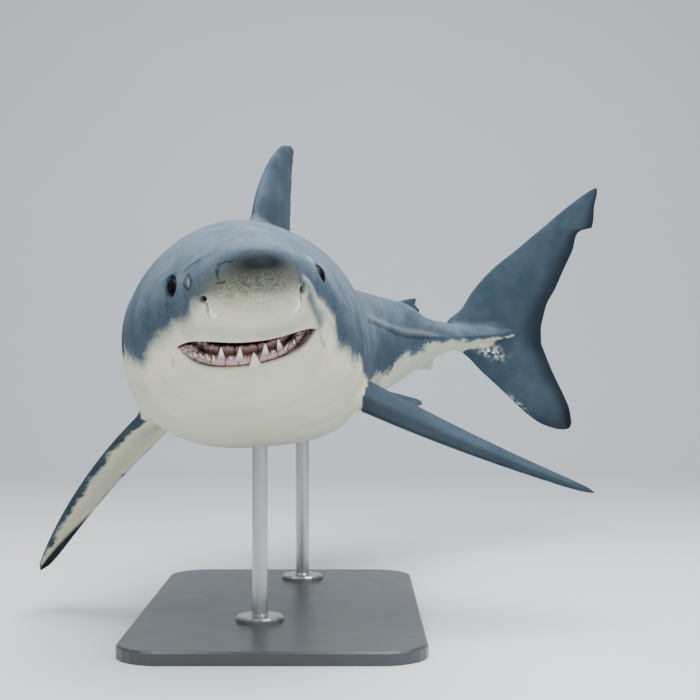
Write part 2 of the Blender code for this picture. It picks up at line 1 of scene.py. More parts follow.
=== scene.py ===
"""Great white shark: a still, life-size display model in a turning, banking swim, on a plain stand.

The skin is worked out from the same spine, outlines, lips and fins as the part's solids.  A place on the
fish is (along, side, height) in shares of its length: back from the snout along the spine, out to the
fish's left, and up from the spine.  A place on the body's surface is (along, turn): turn is the angle
round the section in degrees, -90 at the belly's midline and 90 at the back's, alike on both sides.
"""

import logging
from dataclasses import dataclass, field
from enum import Enum

import bpy
import numpy as np
from mathutils import Matrix, Vector

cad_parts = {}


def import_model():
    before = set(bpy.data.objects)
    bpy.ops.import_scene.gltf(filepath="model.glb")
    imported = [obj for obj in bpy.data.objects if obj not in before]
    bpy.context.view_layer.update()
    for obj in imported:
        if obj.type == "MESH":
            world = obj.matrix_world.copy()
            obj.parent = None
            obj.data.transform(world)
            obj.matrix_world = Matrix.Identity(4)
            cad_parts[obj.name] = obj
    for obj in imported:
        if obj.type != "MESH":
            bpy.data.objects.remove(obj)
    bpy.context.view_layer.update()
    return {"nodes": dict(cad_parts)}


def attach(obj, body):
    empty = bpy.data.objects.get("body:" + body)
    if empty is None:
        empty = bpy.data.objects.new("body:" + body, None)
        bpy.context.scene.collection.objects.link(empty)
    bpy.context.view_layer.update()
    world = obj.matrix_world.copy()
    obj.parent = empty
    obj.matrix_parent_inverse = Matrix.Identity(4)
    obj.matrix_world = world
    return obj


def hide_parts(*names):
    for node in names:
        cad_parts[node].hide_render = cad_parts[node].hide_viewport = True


LOG = logging.getLogger("shark")
LENGTH = 4.0  # metres, snout to upper tail tip along the body
COARSE, UNBEND_ROUNDS = 20, 8  # the spine's steps between first guesses, and the rounds that sharpen them
NARROWEST = 0.012  # share of the length that stands for the section's width where it shrinks to a point
HALVINGS = 40  # rounds that find where a lip's ray leaves the skin
PLAIN_ROWS = 200  # rows from which a body's sections are plain, and up to which a fin's are
PROBE = 0.001  # metres of a step that measures a slope, and the share of the length that does
Array, Tree, Triple = np.ndarray, bpy.types.NodeTree, tuple[float, float, float]
Marks, Points = dict[str, Array], tuple[tuple[float, float], ...]


class Side(Enum):
    """The fish's own left and right, as the sign of its side coordinate."""

    LEFT = 1
    RIGHT = -1

    @property
    def word(self) -> str:
        """The side's name as the frame's nodes spell it."""
        return self.name.lower()


# ---------------------------------------------------------------- curves
def smooth(at: Array, points: Points) -> Array:
    """Monotone cubic through points: Hermite pieces whose slopes are harmonic means of their neighbours'.

    Args:
        at: positions to read.
        points: (position, value) pairs in rising order.

    Returns:
        The values at those positions.
    """
    at = np.asarray(at, float)
    xs, ys = np.array(points, float).T
    run = np.diff(xs)
    slope = np.diff(ys) / run
    tangent = np.zeros_like(ys)
    tangent[0], tangent[-1] = slope[0], slope[-1]
    near, far = 2 * run[1:] + run[:-1], run[1:] + 2 * run[:-1]
    safe = np.where(slope == 0, 1, slope)
    mean = (near + far) / (near / safe[:-1] + far / safe[1:])
    tangent[1:-1] = np.where(slope[:-1] * slope[1:] > 0, mean, 0)
    i = np.clip(np.searchsorted(xs, at) - 1, 0, len(run) - 1)
    u = np.clip((at - xs[i]) / run[i], 0, 1)
    start = (1 + 2 * u) * (1 - u) ** 2 * ys[i] + u * (1 - u) ** 2 * run[i] * tangent[i]
    return start + u * u * (3 - 2 * u) * ys[i + 1] + u * u * (u - 1) * run[i] * tangent[i + 1]


def ease(x: Array, low: float = 0.0, high: float = 1.0) -> Array:
    """Rises from 0 at low to 1 at high along 3u^2 - 2u^3."""
    u = np.clip((np.asarray(x, float) - low) / (high - low), 0, 1)
    return u * u * (3 - 2 * u)


def bump(x: Array, centre: float, half: float) -> Array:
    """A bell, 1 at the centre and 0.37 one half-width away."""
    return np.exp(-(((np.asarray(x, float) - centre) / half) ** 2))


def bumps(x: Array, bells: tuple[Triple, ...]) -> Array:
    """The sum of (size, centre, half width) bells."""
    return sum(size * bump(x, centre, half) for size, centre, half in bells)


def circle(steps: int) -> Array:
    """Even angles once round, from 0."""
    return np.arange(steps) / steps * 2 * np.pi


def chord_share(turn: Array) -> Array:
    """How far back from the leading edge an angle round a fin's section lies, (1 - cos t) / 2."""
    return (1 - np.cos(turn)) / 2


def unit(vectors: Array) -> Array:
    """Vectors brought to length 1."""
    return vectors / np.maximum(np.linalg.norm(vectors, axis=-1, keepdims=True), 1e-12)


def distance_to_path(points: Array, path: Array) -> Array:
    """Shortest distance from each point to a chain of straight runs.

    Args:
        points: (..., 3) places in metres.
        path: (n, 3) corners of the chain.

    Returns:
        Distances in metres.
    """
    best = np.full(points.shape[:-1], np.inf)
    for start, end in zip(path[:-1], path[1:]):
        run = end - start
        share = np.clip(((points - start) @ run) / (run @ run), 0, 1)
        best = np.minimum(best, np.linalg.norm(points - start - share[..., None] * run, axis=-1))
    return best


# ---------------------------------------------------------------- the fish's own shape
@dataclass
class Spine:
    """The bent centre line, and the three directions of the fish along it."""

    snout: Triple = (0.021, -1.442, 1.062)
    heading: Points = (
        (0, -13.9), (0.25, 0.7), (0.36, 8.6), (0.45, 10), (0.65, 28.5), (0.80, 55.3), (0.92, 74.5), (1, 74.5),
    )
    pitch: Points = ((0, 8.6), (0.35, 2.9), (0.80, -2.9), (1, -2.9))
    roll: Points = ((0, 6.2), (0.27, 5.3), (0.80, -2.6), (1, -2.6))
    steps: int = 1000

    def __post_init__(self) -> None:
        """Adds up the spine's directions from the snout back."""
        self.at = np.linspace(0, 1, self.steps + 1)
        heading, pitch, roll = (
            np.radians(smooth(self.at, line)) for line in (self.heading, self.pitch, self.roll)
        )
        level = np.cos(pitch)
        back = np.stack([np.sin(heading) * level, np.cos(heading) * level, -np.sin(pitch)], 1)
        steps = (back[1:] + back[:-1]) / 2 * LENGTH / self.steps
        self.place = np.array(self.snout) + np.concatenate([np.zeros((1, 3)), np.cumsum(steps, 0)])
        up = unit(np.array((0, 0, 1)) - back * back[:, 2:])
        flat_left = np.cross(up, -back)
        cos, sin = np.cos(roll)[:, None], np.sin(roll)[:, None]
        self.back, self.left, self.up = back, flat_left * cos + up * sin, up * cos - flat_left * sin

    def read(self, values: Array, along: Array) -> Array:
        """One of the spine's vectors at each station."""
        return np.stack([np.interp(along, self.at, values[:, k]) for k in range(3)], -1)

    def world(self, points: Array) -> Array:
        """Metres in the row frame for (along, side, height) points that follow the bend."""
        points = np.asarray(points, float)
        along = points[..., 0]
        offset = np.minimum(along, 0)[..., None] * self.back[0]
        offset = offset + self.read(self.left, along) * points[..., 1:2]
        offset = offset + self.read(self.up, along) * points[..., 2:3]
        return self.read(self.place, along) + offset * LENGTH

    def rigid(self, points: Array, station: float) -> Array:
        """Metres for points measured in the straight frame of one station."""
        axes = np.stack([self.read(a, station) for a in (self.back, self.left, self.up)])
        return self.read(self.place, station) + (np.asarray(points, float) - (station, 0, 0)) @ axes * LENGTH

    def unbend(self, places: Array) -> Array:
        """(along, side, height) of places in metres: the station is moved until its plane holds the place."""

        def reach(axis: Array, along: Array) -> Array:
            """How far places stand from their stations along one of the spine's directions, as a share."""
            return ((places - self.read(self.place, along)) * self.read(axis, along)).sum(-1) / LENGTH

        gaps = np.linalg.norm(places[..., None, :] - self.place[::COARSE], axis=-1)
        along = self.at[::COARSE][gaps.argmin(-1)]
        for _ in range(UNBEND_ROUNDS):
            along = np.clip(along + reach(self.back, along), 0, 1)
        return np.stack([along, reach(self.left, along), reach(self.up, along)], -1)


@dataclass
class Body:
    """The body's outlines in shares of the length, and the squared ovals they bound."""

    spine: Spine
    back: Points = (
        (0, 0), (0.004, 0.0085), (0.012, 0.015), (0.03, 0.0246), (0.05, 0.0327), (0.08, 0.0423),
        (0.11, 0.051), (0.15, 0.0614), (0.20, 0.072), (0.25, 0.081), (0.32, 0.089), (0.40, 0.0925),
        (0.50, 0.080), (0.60, 0.0592), (0.68, 0.0482), (0.74, 0.0373), (0.78, 0.0196), (0.81, 0.0143),
        (0.86, 0.0118), (0.895, 0.004),
    )
    belly: Points = (
        (0, 0), (0.004, 0.0075), (0.012, 0.013), (0.03, 0.022), (0.052, 0.0335), (0.060, 0.041),
        (0.068, 0.047), (0.076, 0.057), (0.09, 0.0615), (0.11, 0.065), (0.15, 0.0715), (0.20, 0.079),
        (0.25, 0.0855), (0.32, 0.0895), (0.40, 0.0885), (0.50, 0.0815), (0.60, 0.069), (0.70, 0.053),
        (0.74, 0.0406), (0.78, 0.0252), (0.81, 0.0165), (0.86, 0.0125), (0.895, 0.004),
    )
    half_width: Points = (
        (0, 0), (0.004, 0.009), (0.012, 0.017), (0.03, 0.0311), (0.06, 0.0454), (0.11, 0.063),
        (0.15, 0.074), (0.20, 0.0835), (0.25, 0.0878), (0.32, 0.0876), (0.40, 0.080), (0.50, 0.067),
        (0.60, 0.0503), (0.70, 0.033), (0.76, 0.0245), (0.82, 0.0235), (0.86, 0.017), (0.895, 0.0035),
    )
    widest: Points = (
        (0, 0), (0.05, -0.002), (0.11, -0.0067), (0.20, -0.0117), (0.32, -0.0097), (0.50, -0.004),
        (0.60, 0), (1, 0),
    )
    back_bluntness: Points = ((0, 1.9), (0.10, 1.84), (0.50, 1.95), (0.72, 2.0), (0.82, 1.3), (0.895, 1.6))
    belly_bluntness: Points = (
        (0, 2.0), (0.09, 1.9), (0.18, 2.6), (0.32, 2.7), (0.55, 2.2), (0.72, 2.0), (0.82, 1.3), (0.895, 1.6),
    )

    def size(self, along: Array, outline: Points) -> Array:
        """An outline's value, read over the root of the distance so that the snout is round."""
        return smooth(np.sqrt(np.maximum(along, 0)), tuple((at**0.5, value) for at, value in outline))

    def sizes(self, along: Array, above: Array) -> tuple[Array, ...]:
        """Half width, widest level, and the reach and oval's power on the back's or the belly's side of it."""
        outlines = (self.back, self.belly, self.half_width, self.widest)
        back, belly, width, level = (self.size(along, outline) for outline in outlines)
        power = np.where(above, smooth(along, self.back_bluntness), smooth(along, self.belly_bluntness))
        return width, level, np.where(above, back - level, belly + level), power

    def section(self, along: Array, turn: Array, side: Array) -> Array:
        """(along, side, height) on the skin: |cos|^(2/p) and |sin|^(2/p) of the turn times the reaches.

        side is 1 on the fish's left and -1 on its right.
        """
        along, turn, side = np.broadcast_arrays(along, turn, side)
        cos, sin = np.cos(np.radians(turn)), np.sin(np.radians(turn))
        width, level, tall, power = self.sizes(along, sin > 0)
        height = level + np.where(sin > 0, 1, -1) * tall * np.abs(sin) ** (2 / power)
        return np.stack([along, side * width * np.abs(cos) ** (2 / power), height], -1)

    def skin(self, along: Array, turn: Array, side: Array) -> Array:
        """Row-frame places on the skin."""
        return self.spine.world(self.section(along, turn, side))

    def against(self, shares: Array) -> tuple[Array, ...]:
        """Points as shares of their section's width and reach, its power, and which are above its level."""
        along, side, height = np.moveaxis(shares, -1, 0)
        above = height > self.size(along, self.widest)
        width, level, tall, power = self.sizes(along, above)
        rise = np.abs(height - level) / np.maximum(tall, 1e-5)
        return np.abs(side) / np.maximum(width, 1e-5), rise, power, above

    def ratio(self, shares: Array) -> Array:
        """How far out a (along, side, height) point is: 1 on the skin, less inside."""
        across, rise, power, _ = self.against(shares)
        return (across**power + rise**power) ** (1 / power)

    def turn_of(self, shares: Array) -> Array:
        """The turn of a point, the reverse of section()."""
        across, rise, power, above = self.against(shares)
        return np.where(above, 1, -1) * np.degrees(np.arctan2(rise ** (power / 2), across ** (power / 2)))

    def gap(self, places: Array) -> Array:
        """Metres outside the skin (negative inside) of places in the row frame, along the section's radius."""
        shares = self.spine.unbend(places)
        radius = np.hypot(shares[..., 1], shares[..., 2] - self.size(shares[..., 0], self.widest))
        return (1 - 1 / np.maximum(self.ratio(shares), 1e-3)) * radius * LENGTH

    def outward(self, places: Array) -> Array:
        """The skin's outward direction at places, from how the gap grows a millimetre away."""
        grows = [self.gap(places + PROBE * axis) - self.gap(places - PROBE * axis) for axis in np.eye(3)]
        return unit(np.stack(grows, -1))


@dataclass
class Mouth:
    """Lips that fan out from a focus inside the head; the mouth is the space between them."""

    focus: Triple = (0.115, 0.0, -0.0137)
    middle: tuple[float, float] = (0.0596, -0.0399)
    corner: tuple[float, float] = (0.0762, -0.0272)
    half_width: float = 0.0427
    shift: float = -0.0044
    tilt: float = 0.0016
    plan_power: float = 2.3
    rise: Triple = (-0.0085, 0.0, 0.0059)
    lip_power: float = 6.0
    skew: float = -0.19
    corner_opening: float = 0.05

    def opening(self, across: Array) -> Array:
        """The gape as a share of the one at the front, a little wider on the fish's right."""
        return np.maximum(1 - np.abs(across) ** self.lip_power, self.corner_opening) * (1 + self.skew * across)

    def place(self, across: Array, inward: Array, share: Array) -> Array:
        """(along, side, height) in the mouth.

        Args:
            across: -1 to 1 from corner to corner, positive on the fish's left.
            inward: 1 near the lips down to 0 at the focus.
            share: 0 at the lower lip to 1 at the upper.

        Returns:
            Points, one per broadcast element.
        """
        across, inward, share = np.broadcast_arrays(across, inward, share)
        bend = np.abs(across) ** self.plan_power
        along = self.middle[0] + (self.corner[0] - self.middle[0]) * bend
        height = self.middle[1] + (self.corner[1] - self.middle[1]) * bend
        out = self.half_width * across + self.shift * across**2
        line = np.stack([along, out, height + self.tilt * across], -1)
        lips = line + (self.opening(across) * (2 * share - 1))[..., None] * np.array(self.rise)
        return self.focus + inward[..., None] * (lips - self.focus)

    def reach(self, body: Body, across: Array, share: float) -> Array:
        """The inward value at which a lip's ray leaves the skin, by halving."""
        low, high = np.full(across.shape, 0.7), np.full(across.shape, 1.7)
        for _ in range(HALVINGS):
            mid = (low + high) / 2
            points = self.place(across, mid, share)
            inside = (body.ratio(points) < 1) & (points[..., 0] > 0)
            low, high = np.where(inside, mid, low), np.where(inside, high, mid)
        return (low + high) / 2


# ---------------------------------------------------------------- meshes
@dataclass
class Shell:
    """Points, faces and the marks (one number per point and name) that the materials read."""

    points: Array
    faces: list[Array]
    marks: Marks = field(default_factory=dict)

    def volume(self) -> float:
        """Six times the signed volume, above 0 when the faces point outwards."""
        total = 0.0
        for block in self.faces:
            corners = self.points[block]
            for k in range(1, block.shape[1] - 1):
                normal = np.cross(corners[:, k], corners[:, k + 1])
                total += float((corners[:, 0] * normal).sum())
        return total

    def turned_out(self) -> "Shell":
        """The shell with its faces reversed if they enclose a negative volume."""
        if self.volume() >= 0:
            return self
        return Shell(self.points, [block[:, ::-1] for block in self.faces], self.marks)


def join(shells: list[Shell]) -> Shell:
    """One shell of several; a mark that a shell lacks is 0 there."""
    names = sorted({name for shell in shells for name in shell.marks})
    first, faces = 0, []
    for shell in shells:
        faces += [block + first for block in shell.faces]
        first += len(shell.points)
    marks = {n: np.concatenate([s.marks.get(n, np.zeros(len(s.points))) for s in shells]) for n in names}
    return Shell(np.concatenate([s.points for s in shells]), faces, marks)


def grid_faces(rows: int, columns: int, closed: bool = True) -> Array:
    """Quads of a grid numbered row by row; a closed one joins its last column to its first."""
    first = np.arange(rows - 1)[:, None] * columns
    here = first + np.arange(columns if closed else columns - 1)
    after = first + (here - first + 1) % columns
    return np.stack([here, after, after + columns, here + columns], -1).reshape(-1, 4)


def fan(ring: Array, centre: int) -> Array:
    """Triangles from a ring of point numbers to a centre."""
    return np.stack([ring, np.roll(ring, -1), np.full(len(ring), centre)], -1)


def caps(rows: int, columns: int) -> Array:
    """Fans that close both ends of a grid with the two points that follow its own."""
    start, end = np.arange(columns), np.arange(columns) + (rows - 1) * columns
    return np.concatenate([fan(start[::-1], rows * columns), fan(end, rows * columns + 1)])


def tube(rings: Array, marks: Marks) -> Shell:
    """A closed shell through rings (rows, columns, 3), with a fan to the middle of each end.

    Args:
        rings: places in metres.
        marks: (rows, columns) values by name.

    Returns:
        The shell, faces outwards.
    """
    rows, columns = rings.shape[:2]
    points = np.concatenate([rings.reshape(-1, 3), [rings[0].mean(0), rings[-1].mean(0)]])
    values = {
        name: np.concatenate([value.ravel(), [value[0].mean(), value[-1].mean()]])
        for name, value in marks.items()
    }
    return Shell(points, [grid_faces(rows, columns), caps(rows, columns)], values).turned_out()


def grid_normals(grid: Array) -> Array:
    """Unit normals of a grid closed in its columns: the cross product of central differences both ways."""
    return unit(np.cross(np.roll(grid, -1, 1) - np.roll(grid, 1, 1), np.gradient(grid, axis=0)))


def made_object(
    name: str, shell: Shell, material: bpy.types.Material, sharp: float = 75.0
) -> bpy.types.Object:
    """Puts a shell into the scene as one smooth-shaded piece that rides on the model.

    Args:
        name: the piece's name.
        shell: its mesh and marks.
        material: its finish.
        sharp: edges that bend by more than this many degrees stay crisp.

    Returns:
        The object.
    """
    mesh = bpy.data.meshes.new(name)
    mesh.from_pydata(shell.points.tolist(), [], [face for block in shell.faces for face in block.tolist()])
    mesh.update()
    for mark, values in shell.marks.items():
        mesh.attributes.new(mark, "FLOAT", "POINT").data.foreach_set("value", values.astype(np.float32))
    mesh.shade_smooth()
    mesh.set_sharp_from_angle(angle=np.radians(sharp))
    mesh.materials.append(material)
    made = bpy.data.objects.new(name, mesh)
    bpy.context.scene.collection.objects.link(made)
    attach(made, "root")
    triangles = sum(len(block) * (block.shape[1] - 2) for block in shell.faces)
    LOG.info("%s: %d triangles", name, triangles)
    return made


# ---------------------------------------------------------------- markings
@dataclass
class Markings:
    """Where the slate upper side meets the pale belly, and the smaller marks on the head.

    Each line is (along, turn) down one side.  The two sides differ, as they do on any one fish.
    """

    body: Body
    tide_left: Points = (
        (0, -150), (0.0077, -92), (0.0119, -49), (0.0204, -25.5), (0.0273, -21.5), (0.0454, -19), (0.07, -13),
        (0.0985, -16.5), (0.1255, -22.5), (0.1471, -20.5), (0.1803, -18.5), (0.25, -15), (0.35, -18),
        (0.45, -24), (0.55, -27), (0.651, -27), (0.675, -21), (0.700, -16), (0.734, -15), (0.78, -22),
        (0.89, -28),
    )
    tide_right: Points = (
        (0, -150), (0.0077, -92), (0.010, -52), (0.0162, -19), (0.0312, -17.5), (0.0389, -17), (0.0531, -25.5),
        (0.0704, -18.5), (0.0946, -16.5), (0.1124, -18.5), (0.1317, -18), (0.15, -11), (0.175, -6), (0.205, -5),
        (0.25, -12), (0.35, -18), (0.45, -24), (0.55, -27), (0.651, -26), (0.675, -20), (0.700, -15),
        (0.734, -16), (0.78, -22), (0.89, -28),
    )

    def tide(self, along: Array, turn: Array, side: Array) -> Array:
        """Metres above the line (below 0 on the belly): the turn past the line's, over the line's own slope."""
        width = np.hypot(self.body.size(along, self.body.half_width), NARROWEST) * LENGTH
        above = []
        for line in (self.tide_left, self.tide_right):
            here, ahead = smooth(along, line), smooth(along + PROBE, line)
            slope = np.radians(ahead - here) * width / (PROBE * LENGTH)
            above.append(np.radians(turn - here) * width / np.sqrt(1 + slope**2))
        return np.where(side > 0, *above)

    def smudge(self, place: Array) -> Array:
        """The charcoal smudge over the snout's tip: 1.12 exp(-|x/a|^2.5 - (z/b)^2), at most 1."""
        along, side, height = np.moveaxis(place, -1, 0)
        x, z = (side * LENGTH - 0.008) / 0.080, height * LENGTH - 0.022
        z = z / np.where(z > 0, 0.038, 0.034)
        return np.minimum(1.12 * np.exp(-(np.abs(x) ** 2.5) - z**2), 1) * (1 - ease(along, 0.030, 0.060))

    def speckle(self, place: Array) -> Array:
        """Where the snout is speckled under the smudge: the same bell, lower and wider."""
        along, side, height = np.moveaxis(place, -1, 0)
        x, z = (side * LENGTH + 0.005) / 0.115, (height * LENGTH + 0.022) / 0.040
        return np.exp(-(np.abs(x) ** 3) - z**2) * (1 - ease(along, 0.020, 0.050))


@dataclass
class Mark:
    """One small mark on the skin: a path of (along, turn) with a half width, and what it does there.

    lift is metres outwards, negative for a groove; the rest are shares of 0 to 1. dark lays scars, scratches and
    other dark lines, and painted shade in the grooves by the nostrils and behind the mouth's corners; pale lays
    scars, and painted highlights on the brow and a ridge; slate lays a slate tone, painted shade in the hollows
    and over the upper lip.
    """

    path: Points
    half: float
    lift: float = 0.0
    dark: float = 0.0
    pale: float = 0.0
    slate: float = 0.0


HEAD_MARKS = {
    Side.RIGHT: (
        Mark(((0.055, 28.5), (0.0512, 33), (0.0435, 39.5)), 0.0036, -0.0012, dark=0.95),
        Mark(((0.020, 30), (0.020, 18), (0.0185, 6)), 0.0032, -0.0010, dark=0.80),
        Mark(((0.0203, 22), (0.0198, 14)), 0.0046, -0.0012, dark=0.95),
        Mark(((0.0219, 32), (0.0181, 37.5), (0.0139, 39)), 0.0030, -0.0008, dark=0.85),
        Mark(((0.0150, 39), (0.0135, 39.2)), 0.0036, -0.0006, dark=0.85),
        Mark(((0.0196, -1), (0.0146, -4)), 0.0028, -0.0008, dark=0.75),
        Mark(
            ((0.0462, 24), (0.05, 15.5), (0.0425, 4), (0.0392, 12.5), (0.0462, 24)), 0.0034, 0.0006, dark=0.85,
        ),
        Mark(((0.0446, 18.5), (0.0427, 10)), 0.0026, -0.0008, pale=0.38),
        Mark(((0.0704, 2), (0.0712, -9.5)), 0.004, dark=0.45),
        # the groove down from the nostril, with painted shadow along it
        Mark(((0.0322, -24), (0.0337, -30.5), (0.0373, -36), (0.0393, -42)), 0.0032, -0.0060, dark=0.90),
        Mark(((0.0340, -6), (0.0350, -14), (0.0420, -17)), 0.0120, 0.0, slate=0.35),
        # a broad dent ahead of and below the eye, with painted shade in it
        Mark(((0.0550, -8), (0.0551, -8)), 0.040, -0.0120, slate=0.20),
        Mark(((0.062, 30), (0.075, 26), (0.090, 24)), 0.0120, 0.0040),
        # painted shade over the upper lip, under the snout's overhang
        Mark(((0.0454, -88), (0.0456, -75), (0.0474, -57.5), (0.0533, -40), (0.0628, -29)), 0.026, slate=0.30),
        # a furrow behind the mouth's corner, with a line of painted shade in it
        Mark(((0.091, -31), (0.098, -34.5)), 0.0050, -0.0040, dark=0.35),
    ),
    Side.LEFT: (
        # a crease up from the nostril, with painted shade along it
        Mark(((0.0242, 16.5), (0.0246, -7.5), (0.0265, -18.5)), 0.0026, -0.0018, dark=0.55),
        # the groove down from the nostril, with painted shadow along it
        Mark(((0.0296, -26), (0.0318, -30), (0.0371, -35), (0.0412, -41.5)), 0.0030, -0.0060, dark=0.80),
        # a raised ridge from the nostril back along the snout's side, its pale a painted highlight
        Mark(((0.0289, -3), (0.0465, -12), (0.0708, -14.5), (0.100, -16)), 0.0090, 0.0045, pale=0.35),
        # the hollow under the ridge above, with painted shade in it
        Mark(((0.0450, -18.5), (0.0562, -21.5), (0.0740, -23.5)), 0.024, -0.0060, slate=1.0),
        Mark(((0.0630, -8), (0.0631, -8)), 0.040, -0.0100),
        # the brow bump ahead of and above the eye, its pale a painted highlight
        Mark(((0.0700, 28), (0.0710, 29)), 0.018, 0.0075, pale=0.22),
        Mark(((0.0282, -10), (0.0289, -19)), 0.0050, -0.0010, dark=0.85),
        # painted shade over the upper lip, under the snout's overhang
        Mark(((0.0454, -88), (0.0474, -76), (0.0505, -57), (0.0538, -40), (0.0605, -20.4)), 0.028, slate=0.34),
        # a furrow behind the mouth's corner, with a line of painted shade in it
        Mark(((0.080, -30.5), (0.100, -32)), 0.0050, -0.0050, dark=0.40),
        Mark(((0.132, 7), (0.149, -4.5)), 0.012, 0.0040),
        Mark(((0.1345, -16), (0.1378, -10)), 0.0045, -0.0030, dark=0.8),
    ),
}


# ---------------------------------------------------------------- the skin of head, trunk and tail stalk
SIDE_RIDGE = (  # (along, turn) of the ridge that runs down the flank into the tail stalk's keel
    (0, 17), (0.4875, 17.5), (0.576, 20), (0.622, 19), (0.655, 15.5), (0.683, 12), (0.7065, 9), (0.736, 7),
    (1, 0),
)
# (metres outwards, centre, half width) of the bells across the ridge and across a gill slit
RIDGE_RELIEF = ((0.0032, 0.006, 0.009), (-0.0042, -0.008, 0.007))
GILL_SLIT = ((-0.011, 0, 0.0034), (0.0035, -0.009, 0.006), (-0.0022, 0.012, 0.007))


@dataclass
class Opening:
    """An eye socket or a nostril: a ring of the skin's squares is replaced by rings that narrow to the hole.

    profile rows are (share of the hole's radius, metres outwards). dark is the (outer, inner) share of the
    radius for the painted shade in and round the hole: none past the first, full inside the second.
    """

    along: float
    turn: float
    half_along: float
    half_round: float
    profile: Points
    tilt: float = 0.0
    dark: tuple[float, float] = (1.0, 0.9)
    clear: float = 2.0
    rings: int = 22
    collar: float = 1.5  # the share of the radius at which the rings become ellipses


@dataclass
class BodySkin:
    """Head, trunk and tail stalk as one grid of rows along the fish and columns round it, mouth included.

    A column is a turn on one side.  The first columns run up from the belly's midline to the corner of the
    mouth, so that each of their rows crosses the upper lip, the lining and the lower lip.
    """

    body: Body
    mouth: Mouth
    markings: Markings
    mouth_columns: int = 44
    upper_columns: int = 58
    corner_turn: float = -31.0
    top_seam: float = 0.090
    snout_rows: int = 84
    lining_rows: int = 26
    chin_rows: int = 34
    neck_rows: int = 26
    gill_rows: int = 60
    trunk_rows: int = 44
    stalk_rows: int = 30
    lining_depth: float = 0.60
    wall: float = 0.42  # the share of the lining's rows on each ray, before the back wall
    lip_round: int = 4
    lip_soft: float = 4.0  # rows on either side of a lip that the rounding reaches
    corner_taper: float = 0.045  # share of the mouth's half width over which the lining draws back to the skin
    gills: int = 5
    first_gill: float = 0.196
    gill_spacing: float = 0.0105
    gill_turns: tuple[float, float] = (24.0, -42.0)
    gill_bow: float = 0.010
    snout_packing: float = 1.5  # powers that crowd rows and columns at the snout, the chin and the lips' ends
    chin_packing: float = 1.15
    lip_packing: float = 1.6
    chin_end: float = 0.115  # stations where one block of rows gives way to the next
    neck_end: float = 0.185
    gills_end: float = 0.262
    trunk_end: float = 0.70
    end: float = 0.89

    @property
    def half(self) -> int:
        """Columns from the belly's midline to the back's."""
        return self.mouth_columns + self.upper_columns

    @property
    def round(self) -> int:
        """Columns all the way round."""
        return 2 * self.half

    def even_turns(self) -> Array:
        """The columns' turns away from the mouth, even on each side of its corner."""
        low = np.linspace(-90, self.corner_turn, self.mouth_columns + 1)
        return np.concatenate([low, np.linspace(self.corner_turn, 90, self.upper_columns + 1)[1:]])

    def lips(self, side: Side) -> Marks:
        """Where each column of a side crosses the lips: across, inward reach, along and turn for both."""
        step = np.linspace(0, 1, self.mouth_columns + 1)
        across = side.value * (1 - (1 - step) ** self.lip_packing)
        found: Marks = {"across": across}
        for word, share in (("upper", 1.0), ("lower", 0.0)):
            reach = self.mouth.reach(self.body, across, share)
            points = self.mouth.place(across, reach, share)
            found[word + "_reach"], found[word + "_along"] = reach, points[:, 0]
            found[word + "_turn"] = self.body.turn_of(points)
            found[word + "_turn"][0] = -90
        return found

    def seam(self, lips: Marks) -> Marks:
        """Both lips carried on up the side from the corner to the back as a band that widens to 0.02."""
        beyond = np.arange(1, self.upper_columns + 1)
        even = self.even_turns()[self.mouth_columns + 1:]
        upper, lower = lips["upper_along"][-1], lips["lower_along"][-1]
        middle = (upper + lower) / 2
        middle = middle + (self.top_seam - middle) * ease(beyond, 0, self.upper_columns)
        wide = (lower - upper) / 2 + 0.010 * ease(beyond, 0, 16)
        made = {}
        for word, sign in (("upper", -1), ("lower", 1)):
            lift = (lips[word + "_turn"][-1] - self.corner_turn) * (1 - ease(beyond, 0, 20))
            made[word + "_along"] = np.concatenate([lips[word + "_along"], middle + sign * wide])
            made[word + "_turn"] = np.concatenate([lips[word + "_turn"], even + lift])
        return made

    def gill_rows_along(self) -> Array:
        """Rows through the gills, packed where cos(2 pi x / spacing) is 1, at the slits."""
        plain = np.linspace(self.neck_end, self.gills_end, self.gill_rows + 1)[1:]
        phase = 2 * np.pi * (plain - self.first_gill) / self.gill_spacing
        last = self.first_gill + (self.gills - 1) * self.gill_spacing
        near = ease(plain, self.neck_end + 0.002, self.first_gill)
        near = near * (1 - ease(plain, last, self.gills_end - 0.004))
        return plain - 0.6 * near * self.gill_spacing / (2 * np.pi) * np.sin(phase)

    def gill_shift(self, turn: Array) -> Array:
        """How far back a slit bows at a turn: (share down the slit less a quarter) squared."""
        top, foot = self.gill_turns
        down = np.clip((turn - top) / (foot - top), 0, 1)
        return self.gill_bow * (down - 0.25) ** 2

    def outside(self, seam: Marks) -> tuple[tuple[Array, Array], ...]:
        """(along, turn) of the rows ahead of the mouth, and of those behind it."""
        even = self.even_turns()
        share = (np.arange(1, self.snout_rows + 1) / self.snout_rows)[:, None]
        front_along = seam["upper_along"] * share**self.snout_packing
        front_turn = even + (seam["upper_turn"] - even) * ease(share, 0.25, 1)
        share = np.linspace(0, 1, self.chin_rows)[:, None]
        chin_along = seam["lower_along"] + (self.chin_end - seam["lower_along"]) * share**self.chin_packing
        chin_turn = even + (seam["lower_turn"] - even) * (1 - ease(share))
        gills = self.gill_rows_along()[:, None]
        bow = self.gill_shift(even) * ease(gills, 0.180, 0.194) * (1 - ease(gills, 0.242, self.gills_end))
        neck, trunk, stalk = (
            np.linspace(first, last, rows + 1)[1:, None] + np.zeros((1, self.half + 1))
            for first, last, rows in (
                (self.chin_end, self.neck_end, self.neck_rows),
                (self.gills_end, self.trunk_end, self.trunk_rows), (self.trunk_end, self.end, self.stalk_rows),
            )
        )
        back_along = np.concatenate([chin_along, neck, gills + bow, trunk, stalk])
        back_turn = np.concatenate([chin_turn, even + 0 * back_along[self.chin_rows:]])
        return (front_along, front_turn), (back_along, back_turn)

